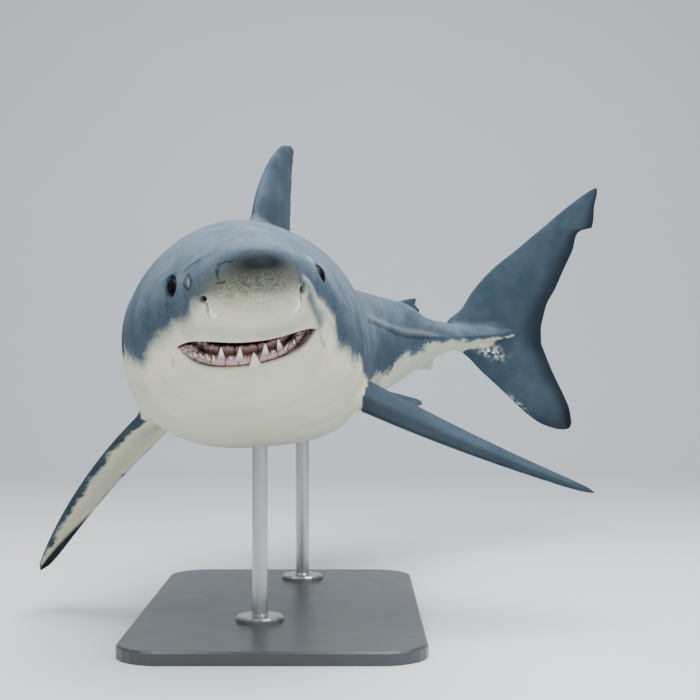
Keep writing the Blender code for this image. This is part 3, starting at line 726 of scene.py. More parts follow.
    def lining(self, lips: Marks, seam: Marks) -> tuple[Array, ...]:
        """Places inside the mouth, their turns, and how deep each is, 0 at the lips to 1.

        Each column goes in along the upper lip's ray, down the back wall and out along the lower lip's ray;
        towards the corners it draws back to the skin, and past them it lies on the band of the seam.
        """
        v = (np.arange(1, self.lining_rows + 1) / (self.lining_rows + 1))[:, None]
        across = lips["across"][None]
        taper = ease((1 - np.abs(across)) / self.corner_taper)
        back = ease(v, self.wall, 1 - self.wall)
        deep = np.clip(np.minimum(v, 1 - v) / self.wall, 0, 1) ** self.lip_packing
        reach = lips["upper_reach"] + (lips["lower_reach"] - lips["upper_reach"]) * back
        inward = reach - (reach - self.lining_depth) * deep * taper
        inside = self.mouth.place(across, inward, (1 - back) * taper + (1 - v) * (1 - taper))
        pairs = ((seam["upper_" + word], seam["lower_" + word]) for word in ("along", "turn"))
        along, turn = (upper + (lower - upper) * v for upper, lower in pairs)
        place, depth = self.body.section(along, turn, across[0, -1]), np.zeros(along.shape)
        near, fade = slice(0, self.mouth_columns + 1), (1 - taper)[..., None] ** 4
        place[:, near] = inside * (1 - fade) + place[:, near] * fade
        depth[:, near] = deep * taper
        return place, turn, depth

    def half_grid(self, side: Side) -> tuple[Array, ...]:
        """One side's grid, (rows, half + 1): places on the fish, turns and mouth depth."""
        lips = self.lips(side)
        seam = self.seam(lips)
        front, back = (
            (self.body.section(along, turn, side.value), turn, np.zeros(along.shape))
            for along, turn in self.outside(seam)
        )
        return tuple(map(np.concatenate, zip(front, self.lining(lips, seam), back)))

    def full(self, left: Array, right: Array) -> Array:
        """Both sides' arrays as one round the fish: up the left side and down the right."""
        return np.concatenate([left, right[:, 1:-1][:, ::-1]], 1)

    def number(self, row: Array, column: Array, side: Side) -> Array:
        """Point numbers of a side's columns."""
        return row * self.round + (column if side is Side.LEFT else (self.round - column) % self.round)

    def rounded_lips(self, grid: Array) -> Array:
        """Softens both lips: each point near a lip moves to the 1-2-1 mean of its column, four times."""
        first, last = self.snout_rows - 1, self.snout_rows + self.lining_rows
        row = np.arange(len(grid))[:, None]
        near = np.maximum(bump(row, first, self.lip_soft), bump(row, last, self.lip_soft))
        column = np.minimum(np.arange(self.round), self.round - np.arange(self.round))[None]
        weight = (near * (1 - ease(column, self.mouth_columns - 6, self.mouth_columns + 1)))[..., None]
        for _ in range(self.lip_round):
            mean = grid.copy()
            mean[1:-1] = (grid[:-2] + 2 * grid[1:-1] + grid[2:]) / 4
            grid = grid + (mean - grid) * weight
        return grid

    def marks(self, place: Array, turn: Array, side: Array, world: Array) -> Marks:
        """The skin's marks away from the mouth, and its lift in metres.

        A gill slit is a narrow bell of depth with a raised lip ahead of it and a shallow hollow behind,
        and painted shade along its deepest line. The ridge down the flank gets painted shade in the groove
        under it and a painted highlight along its top.
        """
        along = place[..., 0]
        made = {name: np.zeros(along.shape) for name in ("lift", "dark", "pale", "slate")}

        def lay(lift: Array, **tones: Array) -> None:
            """Adds to the lift and deepens the tones."""
            made["lift"] += lift
            for name, value in tones.items():
                made[name] = np.maximum(made[name], value)

        top, foot = self.gill_turns
        ends = ease(turn, foot - 5, foot + 6) * (1 - ease(turn, top - 6, top + 5))
        plain = along - self.gill_shift(turn)
        for index in range(self.gills):
            away = (plain - self.first_gill - index * self.gill_spacing) * LENGTH
            # each slit darkened along its deepest line: painted shade
            lay(ends * bumps(away, GILL_SLIT), dark=ends * bump(away, 0, 0.0030))
        flow = ease(along, 0.47, 0.52) * (1 - ease(along, 0.75, 0.79))
        width = self.body.size(along, self.body.half_width) * LENGTH
        off = np.radians(turn - smooth(along, SIDE_RIDGE)) * width
        # a dark line in the groove under the ridge and a pale one along its top: painted shade and painted
        # highlight of light from above
        dark, pale = 0.42 * flow * bump(off, -0.008, 0.005), 0.12 * flow * bump(off, 0.010, 0.009)
        lay(flow * bumps(off, RIDGE_RELIEF), dark=dark, pale=pale)
        for flank, marks in HEAD_MARKS.items():
            for mark in marks:
                fine, knots = np.linspace(0, len(mark.path) - 1, 12), np.arange(len(mark.path))
                line = [np.interp(fine, knots, values) for values in zip(*mark.path)]
                near = bump(distance_to_path(world, self.body.skin(*line, flank.value)), 0, mark.half)
                lay(mark.lift * near, dark=mark.dark * near, pale=mark.pale * near, slate=mark.slate * near)
        tide = self.markings.tide(along, turn, side)
        smudge, speckle = self.markings.smudge(place), self.markings.speckle(place)
        return made | {"tide": tide, "along": along, "smudge": smudge, "speckle": speckle}

    def opening(self, base: tuple[Array, ...], hole: Opening, side: Side, first: int) -> tuple[Shell, Array]:
        """Rings that join the skin's grid to a hole, and the squares they take the place of.

        Ring r runs from the block's edge (r = 0) to an ellipse about the hole's middle; its lift follows the
        hole's profile.

        Args:
            base: one side's grid.
            hole: the opening.
            side: which side of the fish.
            first: number of the patch's first new point.

        Returns:
            The new points and faces (numbered for the whole shell), and a (rows, half) mask of squares taken.
        """
        along, turn = base[0][..., 0], base[1]
        width = float(self.body.size(np.array(hole.along), self.body.half_width)) * LENGTH
        u, v = (along - hole.along) * LENGTH, np.radians(turn - hole.turn) * width
        above = hole.turn > 0
        last, start = (len(u), self.mouth_columns + 2) if above else (self.snout_rows - 1, 0)
        near = (u**2 + v**2)[:last, start:]
        row, column = np.unravel_index(np.argmin(near), near.shape)
        column += start
        wide, tall = hole.clear * hole.half_along, hole.clear * hole.half_round
        r0, r1 = np.argmax(u[:last, column] > -wide) - 1, min(np.argmax(u[:, column] > wide), last)
        c0, c1 = np.argmax(v[row] > -tall) - 1, np.argmax(v[row] > tall)
        wide, tall, forth, back = c1 - c0, r1 - r0, np.arange(c0, c1), np.arange(c1, c0, -1)
        rows = np.concatenate([np.full(wide, r0), np.arange(r0, r1), np.full(wide, r1), np.arange(r1, r0, -1)])
        columns = np.concatenate([forth, np.full(tall, c1), back, np.full(tall, c0)])
        edge_u, edge_v = u[rows, columns], v[rows, columns]
        cos, sin = np.cos(np.radians(hole.tilt)), np.sin(np.radians(hole.tilt))
        x, y = (edge_u * cos + edge_v * sin) / hole.half_along, (-edge_u * sin + edge_v * cos) / hole.half_round
        reach, angle = np.hypot(x, y), np.arctan2(y, x)
        share = np.linspace(0, 2, hole.rings + 1)[1:, None]
        settled = reach + (hole.collar - reach) * ease(share) ** 0.8
        rho = np.maximum(np.where(share < 1, settled, hole.collar * (2 - share)), 0.04)
        px, py = rho * np.cos(angle) * hole.half_along, rho * np.sin(angle) * hole.half_round
        new_along = hole.along + (px * cos - py * sin) / LENGTH
        new_turn = hole.turn + np.degrees((px * sin + py * cos) / width)
        shares = self.body.section(new_along, new_turn, float(side.value))
        world = self.body.spine.world(shares)
        marks = self.marks(shares, new_turn, float(side.value), world)
        lift = marks.pop("lift") + smooth(rho, hole.profile)
        # the hole and its rim darkened: painted shade
        marks["dark"] = np.maximum(marks["dark"], 1 - ease(rho, hole.dark[1], hole.dark[0]))
        world = world + self.body.outward(world) * lift[..., None]
        points = np.concatenate([world.reshape(-1, 3), [world[-1].mean(0)]])
        flat = {name: np.concatenate([value.ravel(), [value[-1].mean()]]) for name, value in marks.items()}
        inner = first + np.arange(hole.rings * len(rows)).reshape(hole.rings, -1)
        rings = np.concatenate([self.number(rows, columns, side)[None], inner])
        ahead = np.roll(rings, -1, 1)
        quads = np.stack([rings[:-1], ahead[:-1], ahead[1:], rings[1:]], -1).reshape(-1, 4)
        tips = fan(rings[-1], first + inner.size)
        if side is Side.RIGHT:
            quads, tips = quads[:, ::-1], tips[:, ::-1]
        taken = np.zeros((len(along) - 1, self.half), bool)
        taken[r0:r1, c0:c1] = True
        return Shell(points, [quads, tips], flat), taken

    def build(self, holes: dict[Side, list[Opening]]) -> Shell:
        """The whole skin of head, trunk and stalk."""
        base = {side: self.half_grid(side) for side in Side}
        place, turn, depth = (self.full(left, right) for left, right in zip(base[Side.LEFT], base[Side.RIGHT]))
        rows, column = len(place), np.arange(self.round)
        side = np.where(column <= self.half, 1.0, -1.0) * np.ones((rows, 1))
        world = self.body.spine.world(place)
        marks = self.marks(place, turn, side, world)
        inside = np.zeros(depth.shape, bool)
        inside[self.snout_rows: self.snout_rows + self.lining_rows] = True
        inside &= np.minimum(column, self.round - column) <= self.mouth_columns
        world = self.rounded_lips(world)
        normal = grid_normals(world)
        centre = self.body.spine.world(place * (1, 0, 0))
        outwards = np.sign(((world - centre) * normal).sum(-1)[PLAIN_ROWS:].mean())
        world = world + normal * (outwards * np.where(inside, 0, marks.pop("lift")))[..., None]
        marks["dark"] = np.where(inside, 0, marks["dark"])
        marks["mouth"] = np.where(inside, np.clip((depth - 0.04) * 12, 0, 1), 0)
        tip = self.body.spine.world(np.zeros(3))
        points = [world.reshape(-1, 3), [tip, world[-1].mean(0)]]
        flat = {name: [v.ravel(), [v[0].mean(), v[-1].mean()]] for name, v in marks.items()}
        taken, faces, first = {}, [], world.size // 3 + 2
        for flank in Side:
            taken[flank] = np.zeros((rows - 1, self.half), bool)
            for hole in holes[flank]:
                patch, mask = self.opening(base[flank], hole, flank, first)
                points.append(patch.points)
                faces += patch.faces
                for name in flat:
                    flat[name].append(patch.marks.get(name, np.zeros(len(patch.points))))
                first += len(patch.points)
                taken[flank] |= mask
        keep = ~np.concatenate([taken[Side.LEFT], taken[Side.RIGHT][:, ::-1]], 1)
        quads = grid_faces(rows, self.round).reshape(rows - 1, self.round, 4)[keep]
        values = {name: np.concatenate(parts) for name, parts in flat.items()}
        return Shell(np.concatenate(points), [quads, caps(rows, self.round), *faces], values).turned_out()


# ---------------------------------------------------------------- fins
WING = ((0.2969, 0.5), (-0.1260, 1), (-0.3516, 2), (0.2843, 3), (-0.1036, 4))  # a wing's (factor, power) pairs
FAIRING_STEPS = (0.0, 0.01, 0.035, 0.08, 0.15, 0.24, 0.36, 0.50, 0.68, 0.86)
SUNK = -0.0008  # metres by which a fairing's last ring lies under the body's skin


@dataclass
class Fin:
    """A fin of wing sections: what all fins share, and the fairing by which a fin grows out of the body.

    fairing is the radius in metres at the leading edge, along the faces and at the trailing edge.
    """

    name: str
    body: Body
    markings: Markings
    swell: float  # greatest thickness as a share of the chord
    fairing: Triple = (0.0, 0.0, 0.0)
    start: float = -0.25
    rows: int = 60
    around: int = 52
    samples: int = 260
    edge: float = 0.0011  # half thickness in metres kept at the edges
    round_from: float = 0.965

    def wing(self, turn: Array, length: Array) -> tuple[Array, Array]:
        """(chord share, half thickness with its sign) round a fin's section.

        The half thickness is 5 * swell * length times the sum of WING's factors by powers of the chord share,
        plus the edge's own half thickness, which rounds off over its own width at both ends.

        Args:
            turn: angle round the section, 0 at the leading edge and pi at the trailing one.
            length: chord in metres.

        Returns:
            Chord shares and signed half thicknesses in metres.
        """
        chord = chord_share(turn)
        body = 5 * self.swell * length * sum(c * chord**power for c, power in WING)
        near = np.minimum(chord, 1 - chord) * length / (2 * self.edge)
        rim = np.minimum(self.edge * np.sqrt(1 - (1 - np.minimum(near, 1)) ** 2), length / 2)
        return chord, np.sign(np.sin(turn)) * (body + rim)

    def tip_round(self, share: Array) -> Array:
        """The chord's shrink to nothing at the tip, a quarter circle from round_from to 1."""
        return np.sqrt(1 - np.clip((share - self.round_from) / (1 - self.round_from), 0, 1) ** 2)

    def surface(self, share: Array, turn: Array) -> Array:
        """Places in metres at (share of span, turn round the section)."""
        raise NotImplementedError

    def paint(self, share: Array, turn: Array) -> Marks:
        """The fin's marks away from the body."""
        raise NotImplementedError

    def build(self) -> Shell:
        """The fin from its fairing's last ring, just under the body's skin, to its tip.

        Ahead of the body's skin by d, less than the radius r, the surface stands out from the fin by
        r (1 - sqrt(1 - (1 - d/r)^2)), which is a quarter circle tangent to both.
        """
        turn, column = circle(self.around), np.arange(self.around)
        samples, knots = np.linspace(self.start, 1, self.samples), np.arange(self.samples)
        grid = self.surface(samples[:, None], turn[None])
        gap = self.body.gap(grid)
        chord = chord_share(turn)
        lead, face, trail = self.fairing
        radius = face + (lead - face) * (1 - chord) ** 6 + (trail - face) * chord**6
        normal = grid_normals(grid)
        flip = np.sign(((grid - grid.mean(1, keepdims=True)) * normal).sum(-1)[:PLAIN_ROWS].mean())

        def crossing(distance: Array) -> Array:
            """Sample position, as a real number, where each column was last nearer the body than a distance."""
            inside = gap < distance[None]
            last = self.samples - 1 - inside[::-1].argmax(0)
            last = np.where(inside.any(0), np.minimum(last, self.samples - 2), 0)
            low, high = gap[last, column], gap[last + 1, column]
            return last + np.clip((distance - low) / np.maximum(high - low, 1e-9), 0, 1)

        def at(values: Array, position: Array) -> Array:
            """Values of a (samples, columns, 3) array at real-numbered rows."""
            low = np.floor(position).astype(int)
            part, high = (position - low)[:, None], np.minimum(low + 1, self.samples - 1)
            return values[low, column] * (1 - part) + values[high, column] * part

        rings, blend, share_rows = [], [], []
        for step in (-1.0, *FAIRING_STEPS):
            distance = radius * max(step, 0.0)
            position = crossing(distance)
            place, out = at(grid, position), at(normal, position) * flip
            away = self.body.outward(place)
            out = unit(out - (out * away).sum(-1, keepdims=True) * away)
            offset = radius * (1 - np.sqrt(1 - (1 - distance / radius) ** 2))
            if step < 0:
                offset, distance = offset * 1.04, np.full(self.around, SUNK)
            made = place + out * offset[:, None]
            for _ in range(3):
                made = made + away * (distance - self.body.gap(made))[:, None]
            rings.append(made)
            blend.append(max(step, 0.0))
            share_rows.append(np.interp(position, knots, samples))
        root = np.interp(crossing(radius), knots, samples)[None]
        share = root + (1 - root) * np.sin(np.linspace(0, 1, self.rows) * np.pi / 2)[:, None] ** 1.15
        rings = np.concatenate([np.array(rings), self.surface(share, turn[None])])
        share = np.concatenate([np.array(share_rows), share])
        weight = ease([*blend, *np.ones(self.rows)], 0.0, 0.9)[:, None]
        marks = {name: value * weight for name, value in self.paint(share, turn[None]).items()}
        shares = self.body.spine.unbend(rings)
        marks["tide"] = marks["tide"] + self.own_tide(shares) * (1 - weight)
        marks["along"], marks["fin"] = shares[..., 0], weight * np.ones(share.shape)
        return tube(rings, marks)

    def own_tide(self, shares: Array) -> Array:
        """The body's own tide mark at places near its skin."""
        side = np.where(shares[..., 1] >= 0, 1, -1)
        return self.markings.tide(shares[..., 0], self.body.turn_of(shares), side)


@dataclass
class MidlineFin(Fin):
    """A fin on the fish's middle plane; outline rows are (share of height, leading, trailing)."""

    outline: tuple[Triple, ...] = ()
    base: float = 0.0
    height: float = 0.0
    yaw: float = 0.0
    tone: float = 0.08
    wave: float = 0.0012

    def edges(self, share: Array) -> tuple[Array, Array]:
        """Leading and trailing edges in shares of length, rounded off at the tip."""
        lead, trail = (smooth(share, tuple((row[0], row[k]) for row in self.outline)) for k in (1, 2))
        middle, half = (lead + trail) / 2, (trail - lead) / 2 * self.tip_round(share)
        return middle - half, middle + half

    def surface(self, share: Array, turn: Array) -> Array:
        """Each section lies across the fish's middle plane, at base + share * height, and follows its bend."""
        lead, trail = self.edges(share)
        chord, thick = self.wing(turn, (trail - lead) * LENGTH)
        along = lead + chord * (trail - lead)
        behind = along - self.outline[0][1] - (trail - lead) / 2
        across = thick / LENGTH + np.tan(np.radians(self.yaw)) * behind
        ripple = self.wave * np.sin(share * 41 + 1.3) * np.sin(share * 17) * chord**8 * self.tip_round(share)
        place = np.broadcast_arrays(along - ripple, across, self.base + self.height * share)
        return self.body.spine.world(np.stack(place, -1))

    def paint(self, share: Array, turn: Array) -> Marks:
        """One tone, darker towards the trailing tip."""
        soot = 0.35 * ease(share, 0.6, 1) * chord_share(turn) * (self.tone > 0)
        return {"tide": np.full(share.shape, self.tone), "soot": soot}


@dataclass
class CaudalFin(Fin):
    """The tail fin: one plate from the lower tip to the upper one, melted into the tail stalk.

    Where the stalk stands wider than the plate the two half widths a and b join as
    max(a, b) + (k - |a - b|)^2 / 4k, and the plate then sinks under the stalk's skin.
    """

    upper: tuple[Triple, ...] = ()
    lower: tuple[Triple, ...] = ()
    upper_span: float = 0.160
    lower_span: float = 0.1135
    melt: float = 0.024
    gone: float = 0.08  # metres by which the stalk shrinks past its ends, so that only the plate is left
    stalk_start: tuple[float, float] = (0.800, 0.812)
    stalk_end: tuple[float, float] = (0.878, 0.897)

    def outline(self) -> Array:
        """(height, leading, trailing) from the lower tip up."""
        low = [(-share * self.lower_span, lead, trail) for share, lead, trail in reversed(self.lower)]
        high = [(share * self.upper_span, lead, trail) for share, lead, trail in self.upper[1:]]
        return np.array(low + high)

    def build(self) -> Shell:
        """The plate's rows run from tip to tip, packed towards both."""
        rows, body = self.outline(), self.body
        way = np.linspace(-1, 1, 2 * self.rows)
        way = np.sign(way) * np.sin(np.abs(way) * np.pi / 2)
        height = np.where(way > 0, way * self.upper_span, way * self.lower_span)[:, None]
        lead, trail = (smooth(height, tuple(zip(rows[:, 0], rows[:, k]))) for k in (1, 2))
        share, turn = np.abs(way)[:, None], circle(self.around)[None]
        half = (trail - lead) / 2 * self.tip_round(share)
        chord, thick = self.wing(turn, 2 * half * LENGTH)
        uneven = 0.0002 * (1 + np.sin(height * 160 + 1.0) * np.sin(height * 73)) * self.tip_round(share)
        along = (lead + trail) / 2 + half * (2 * chord - 1) - uneven * chord**10
        tall = height * np.ones_like(along)
        above = tall > body.size(along, body.widest)
        width, level, reach, power = body.sizes(along, above)
        rise = np.abs(tall - level) / reach
        inside = (1 - np.minimum(rise, 1) ** power) ** (1 / power)
        wide = (width * inside - np.maximum(rise - 1, 0) * reach) * LENGTH
        wide = wide - self.gone * (ease(along, *self.stalk_end) + 1 - ease(along, *self.stalk_start))
        plate = np.abs(thick)
        apart = np.maximum(self.melt - np.abs(plate - wide), 0)
        melted = np.maximum(plate, wide) + apart**2 / (4 * self.melt)
        melted = melted - np.clip(0.3 * (wide - plate - self.melt), 0, 0.003)
        out = plate + (melted - plate) * ease(np.minimum(chord, 1 - chord), 0.0, 0.02)
        place = np.stack([along, np.sign(thick) * out / LENGTH, tall], -1)
        marks = self.paint(np.sign(height) * share * np.ones_like(along), turn * np.ones_like(along))
        weight = 1 - ease((wide - plate + 2 * self.melt) / (3 * self.melt))
        weight = np.maximum(weight, ease(along, 0.845, self.stalk_end[0]))
        marks["tide"] = marks["tide"] * weight + self.own_tide(place) * (1 - weight)
        marks["along"], marks["fin"] = along, weight
        return tube(body.spine.world(place), marks)

    def paint(self, share: Array, turn: Array) -> Marks:
        """Slate, paler at the root, with soot along the trailing edge; share is negative in the lower lobe."""
        chord = chord_share(turn)
        patch = bump(share + 0.02 * np.sin(chord * 37), -0.17, 0.060)
        patch = patch * bump(chord + 0.03 * np.sin(share * 61), 0.34, 0.10)
        spots = bump(chord, 0.04, 0.035) * bump(share, -0.70, 0.07)
        tip = ease(-share, 0.72, 0.98)
        soot = np.minimum(0.75 * ease(chord, 0.68, 0.97) + 0.6 * tip, 0.88)
        return {"tide": np.full(share.shape, 0.05), "soot": soot, "pale": np.minimum(patch + 0.8 * spots, 1)}


@dataclass
class PairedFin(Fin):
    """A fin that reaches out to one side: a flat planform, tilted, turned about its root and drooped.

    chords are (share of span, share of length); pose is (turn about the root, droop at the root, droop at the
    tip, tilt at the root, tilt at the tip) in degrees.
    """

    side: Side = Side.LEFT
    chords: Points = ()
    root: Triple = (0.0, 0.0, 0.0)
    span: float = 0.2
    sweep: float = 0.1
    pose: tuple[float, float, float, float, float] = (0.0, 0.0, 0.0, 0.0, 0.0)
    pivot: float = 0.35
    bow: float = 0.18
    tip_soot: float = 1.0
    # how dark the upper face is painted near its leading edge: painted shade
    lead_shade: float = 0.0
    band: float = 0.13

    def surface(self, share: Array, turn: Array) -> Array:
        """Section by section: tilt about the pivot, turn about the root, then bend down an even arc."""
        share, turn = np.broadcast_arrays(share, turn)
        yaw, droop_root, droop_tip, tilt_root, tilt_tip = np.radians(self.pose)
        full = smooth(share, self.chords)
        length = full * self.tip_round(share)
        chord, thick = self.wing(turn, length * LENGTH)
        normal = thick / LENGTH
        step = np.linspace(0, 1.2, 241)
        droop = droop_root + (droop_tip - droop_root) * step
        mid = (droop[1:] + droop[:-1]) / 2
        arc_out, arc_down = (
            np.concatenate([[0], np.cumsum(f(mid))]) * (step[1] - step[0]) * self.span for f in (np.cos, np.sin)
        )
        tilt = tilt_root + (tilt_tip - tilt_root) * share
        from_pivot = (chord - self.pivot) * length + (0.5 - self.pivot) * (full - length)
        aft = self.sweep * (share + self.bow * share * (1 - share)) + self.pivot * full
        aft = aft + from_pivot * np.cos(tilt) + normal * np.sin(tilt)
        lift = -from_pivot * np.sin(tilt) + normal * np.cos(tilt)
        along = aft * np.cos(yaw) + share * self.span * np.sin(yaw)
        outward = (share * self.span * np.cos(yaw) - aft * np.sin(yaw)) / self.span
        angle = droop_root + (droop_tip - droop_root) * outward
        inside = np.minimum(outward, 0) * self.span
        out = np.interp(outward, step, arc_out) + inside * np.cos(angle) + lift * np.sin(angle)
        down = np.interp(outward, step, arc_down) + inside * np.sin(angle) - lift * np.cos(angle)
        x, y, z = self.root
        return self.body.spine.rigid(np.stack([x + along, self.side.value * (y + out), z - down], -1), x)

    def paint(self, share: Array, turn: Array) -> Marks:
        """Slate on the upper face, where sin t > 0; pale below, with a dark leading band and a black tip."""
        chord, under = chord_share(turn), np.sin(turn) < 0
        length = smooth(share, self.chords) * LENGTH
        below = (self.band * (0.55 + 0.5 * share) - chord) * length
        edge = (chord - 0.985) * length + 0.002
        soot = self.tip_soot * ease(share + 0.35 * (chord - 0.3) * under, 0.86, 0.97)
        # painted shade on the upper face near the leading edge, where the face curves down away from the light
        # above
        shade = self.lead_shade * (1 - ease(chord, 0.16, 0.42)) * ~under
        return {
            "tide": np.where(under, np.maximum(below, edge), 0.05),
            "soot": np.maximum(soot * np.where(under, 1, 0.5), shade),
        }


# ---------------------------------------------------------------- eyes, gums and teeth
@dataclass
class Eye:
    """One eye: an oval ball that stands a little proud of the skin at (along, turn), turned with its socket.

    radii are metres along the tilted axis, outwards, and across both.
    """

    body: Body
    side: Side
    socket: Opening
    radii: Triple
    proud: float
    tilt: float

    def build(self) -> Shell:
        """Rings from the outer pole inwards: (sin p cos t, cos p, sin p sin t) times the radii."""
        polar, turn = np.linspace(0.03, np.pi - 0.03, 40)[:, None], circle(64)[None]
        ball = np.broadcast_arrays(np.sin(polar) * np.cos(turn), np.cos(polar), np.sin(polar) * np.sin(turn))
        ball = np.stack(ball, -1)
        stations = self.socket.along + np.array((0, PROBE))
        place, behind = self.body.skin(stations, self.socket.turn, self.side.value)
        out = self.body.outward(place)
        back = unit(behind - place - ((behind - place) @ out) * out)
        up = np.cross(out, back)
        up *= np.sign(up[2])
        cos, sin = np.cos(np.radians(self.tilt)), np.sin(np.radians(self.tilt))
        axes = np.stack([back * cos + up * sin, out, up * cos - back * sin])
        rings = place + out * (self.proud - self.radii[1]) + (ball * self.radii) @ axes
        return tube(rings, {"iris": np.hypot(ball[..., 0], ball[..., 2]) + (ball[..., 1] < 0) * 2})


@dataclass(frozen=True)
class Fold:
    """A curl of skin: an oval rope, half sunk, laid along (along, turn) points, thickest near its far end."""

    side: Side
    path: Points
    half: float
    rise: float = 0.8
    lean: float = 2.2

    def build(self, body: Body) -> Shell:
        """Rings of cos t across the path and sin t outwards, sized by sin(pi u^lean)."""
        path, u = np.array(self.path), np.linspace(0.01, 0.99, 30)
        knots = np.linspace(0, 1, len(path))
        along, turn = (smooth(u, tuple(zip(knots, path[:, k]))) for k in (0, 1))
        line = body.skin(along, turn, self.side.value)
        out = body.outward(line)
        across = unit(np.cross(np.gradient(line, axis=0), out))
        size = (self.half * np.sin(np.pi * u**self.lean) ** 0.8)[:, None, None]
        ring = circle(20)[None, :, None]
        oval = np.cos(ring) * across[:, None] + self.rise * np.sin(ring) * out[:, None]
        rings = line[:, None] + size * oval
        flat = np.ones(rings.shape[:2])
        return tube(rings, {"tide": -0.1 * flat, "pale": flat, "along": along[:, None] * flat})


@dataclass
class Gum:
    """A gum ridge swept round the jaw arch; outline rows are (inward, share of the way to the upper lip).

    swell is how much taller the ridge grows towards the corners of the mouth.
    """

    spine: Spine
    mouth: Mouth
    outline: Points
    reach: float = 0.985
    columns: int = 220
    around: int = 28
    lumps: int = 14
    lump: float = 0.05
    swell: float = 1.3

    def build(self) -> Shell:
        """Outline points eased round a closed curve, swollen by uneven lumps that crowd at the corners."""
        across = np.linspace(-self.reach, self.reach, self.columns)[:, None]
        corners = np.array(self.outline)
        closed = np.concatenate([corners, corners[:1]])
        knots = np.arange(len(closed))
        at = np.linspace(0, len(corners), self.around, endpoint=False)
        ring = np.stack([np.interp(at, knots, closed[:, k]) for k in (0, 1)], -1)
        for _ in range(2):
            ring = (np.roll(ring, 1, 0) + 2 * ring + np.roll(ring, -1, 0)) / 4
        inward, share, root = ring[None, :, 0], ring[None, :, 1], corners[0, 1]
        corner = ease(np.abs(across), 0.70, 0.92)
        phase = across * self.lumps * np.pi
        wave = 0.5 + 0.30 * np.cos(phase + 0.9 * np.sin(5 * across)) + 0.20 * np.cos(2.7 * phase + 1)
        crowd = 0.5 + 0.5 * np.sin(97 * across) * np.cos(61 * share)
        height = np.abs(share - root)
        grown = height * (1 + self.swell * corner) + ease(height, 0.1, 0.25) * (
            self.lump * (wave - 0.5) * 2 + 0.16 * corner * (crowd - 0.5))
        inward = inward + 0.006 * (wave - 0.5) + 0.012 * corner * (crowd - 0.5)
        taper = ease((self.reach - np.abs(across)) / 0.03)
        sign = 1.0 if root < 0.5 else -1.0
        share = root + sign * (0.05 + (grown - 0.05) * (0.4 + 0.6 * taper))
        points = self.mouth.place(across, inward * np.ones_like(share), np.clip(share, 0.02, 0.98))
        flat = np.ones_like(share)
        marks = {"lump": wave * flat, "corner": ease(np.abs(across), 0.45, 0.75) * flat}
        return tube(self.spine.world(points), marks)


@dataclass(frozen=True)
class Tooth:
    """One tooth: its place, half width and lean across the jaw, and its heights towards the upper lip."""

    across: float
    half: float
    root: float
    tip: float
    lean: float = 0.0


@dataclass
class ToothRow:
    """Curved triangular teeth on a jaw arch; inward is how far in their roots and tips stand."""

    spine: Spine
    mouth: Mouth
    teeth: tuple[Tooth, ...]
    inward: tuple[float, float]
    thick: float = 0.0030
    rows: int = 10
    around: int = 12

    def build(self) -> list[Shell]:
        """Each tooth narrows as (1 - u)^0.9 up a line that curves back as u^2, its section a flat oval."""
        teeth = np.array([(t.across, t.half, t.root, t.tip, t.lean) for t in self.teeth])
        place, half, root, tip, lean = teeth.T[..., None, None]
        u = np.linspace(0, 0.985, self.rows)[None, :, None]
        turn = circle(self.around)[None, None]
        across = place + lean * u**1.3 + half * (1 - u) ** 0.9 * np.cos(turn)
        share = root + (tip - root) * u + 0 * turn
        away = float(np.linalg.norm(self.mouth.place(0, 1, 0.5) - self.mouth.focus)) * LENGTH
        deep = self.thick * (1 - u) ** 0.7 / away
        inward = self.inward[0] + (self.inward[1] - self.inward[0]) * u**2 + deep * np.sin(turn)
        rings = self.spine.world(self.mouth.place(across, inward, share))
        flat = np.ones(rings.shape[1:3])
        return [tube(tooth, {"up": u[0] * flat, "tide": -0.1 * flat, "pale": 0.3 * flat}) for tooth in rings]


LOWER_TEETH = tuple(Tooth(*row) for row in (
    (-0.94, 0.020, 0.00, 0.60, 0.010), (-0.885, 0.026, 0.00, 0.50, -0.020),
    (-0.82, 0.026, -0.02, 0.42, -0.030), (-0.755, 0.030, -0.02, 0.46, -0.040),
    (-0.685, 0.028, -0.02, 0.44, -0.045), (-0.610, 0.034, 0.00, 0.46, -0.040),
    (-0.545, 0.028, 0.04, 0.48, -0.030), (-0.465, 0.052, 0.28, 0.83, -0.005),
    (-0.330, 0.028, 0.26, 0.46, -0.020), (-0.213, 0.064, 0.16, 0.84, 0.0), (0.178, 0.066, 0.28, 0.86, -0.015),
    (0.300, 0.026, 0.28, 0.46, 0.015), (0.430, 0.058, 0.36, 0.93, -0.060), (0.505, 0.048, 0.05, 0.50, 0.080),
    (0.615, 0.030, 0.02, 0.46, 0.030), (0.712, 0.050, 0.00, 0.54, -0.020), (0.800, 0.034, 0.00, 0.50, 0.020),
    (0.870, 0.030, 0.00, 0.58, 0.015), (0.930, 0.026, 0.00, 0.66, 0.010),
))


# ---------------------------------------------------------------- finishes
def colour(code: str) -> tuple[float, float, float, float]:
    """Linear RGBA of an sRGB hex code."""
    parts = np.array([int(code[k: k + 2], 16) / 255 for k in (1, 3, 5)])
    linear = np.where(parts <= 0.04045, parts / 12.92, ((parts + 0.055) / 1.055) ** 2.4)
    return (*linear.tolist(), 1.0)


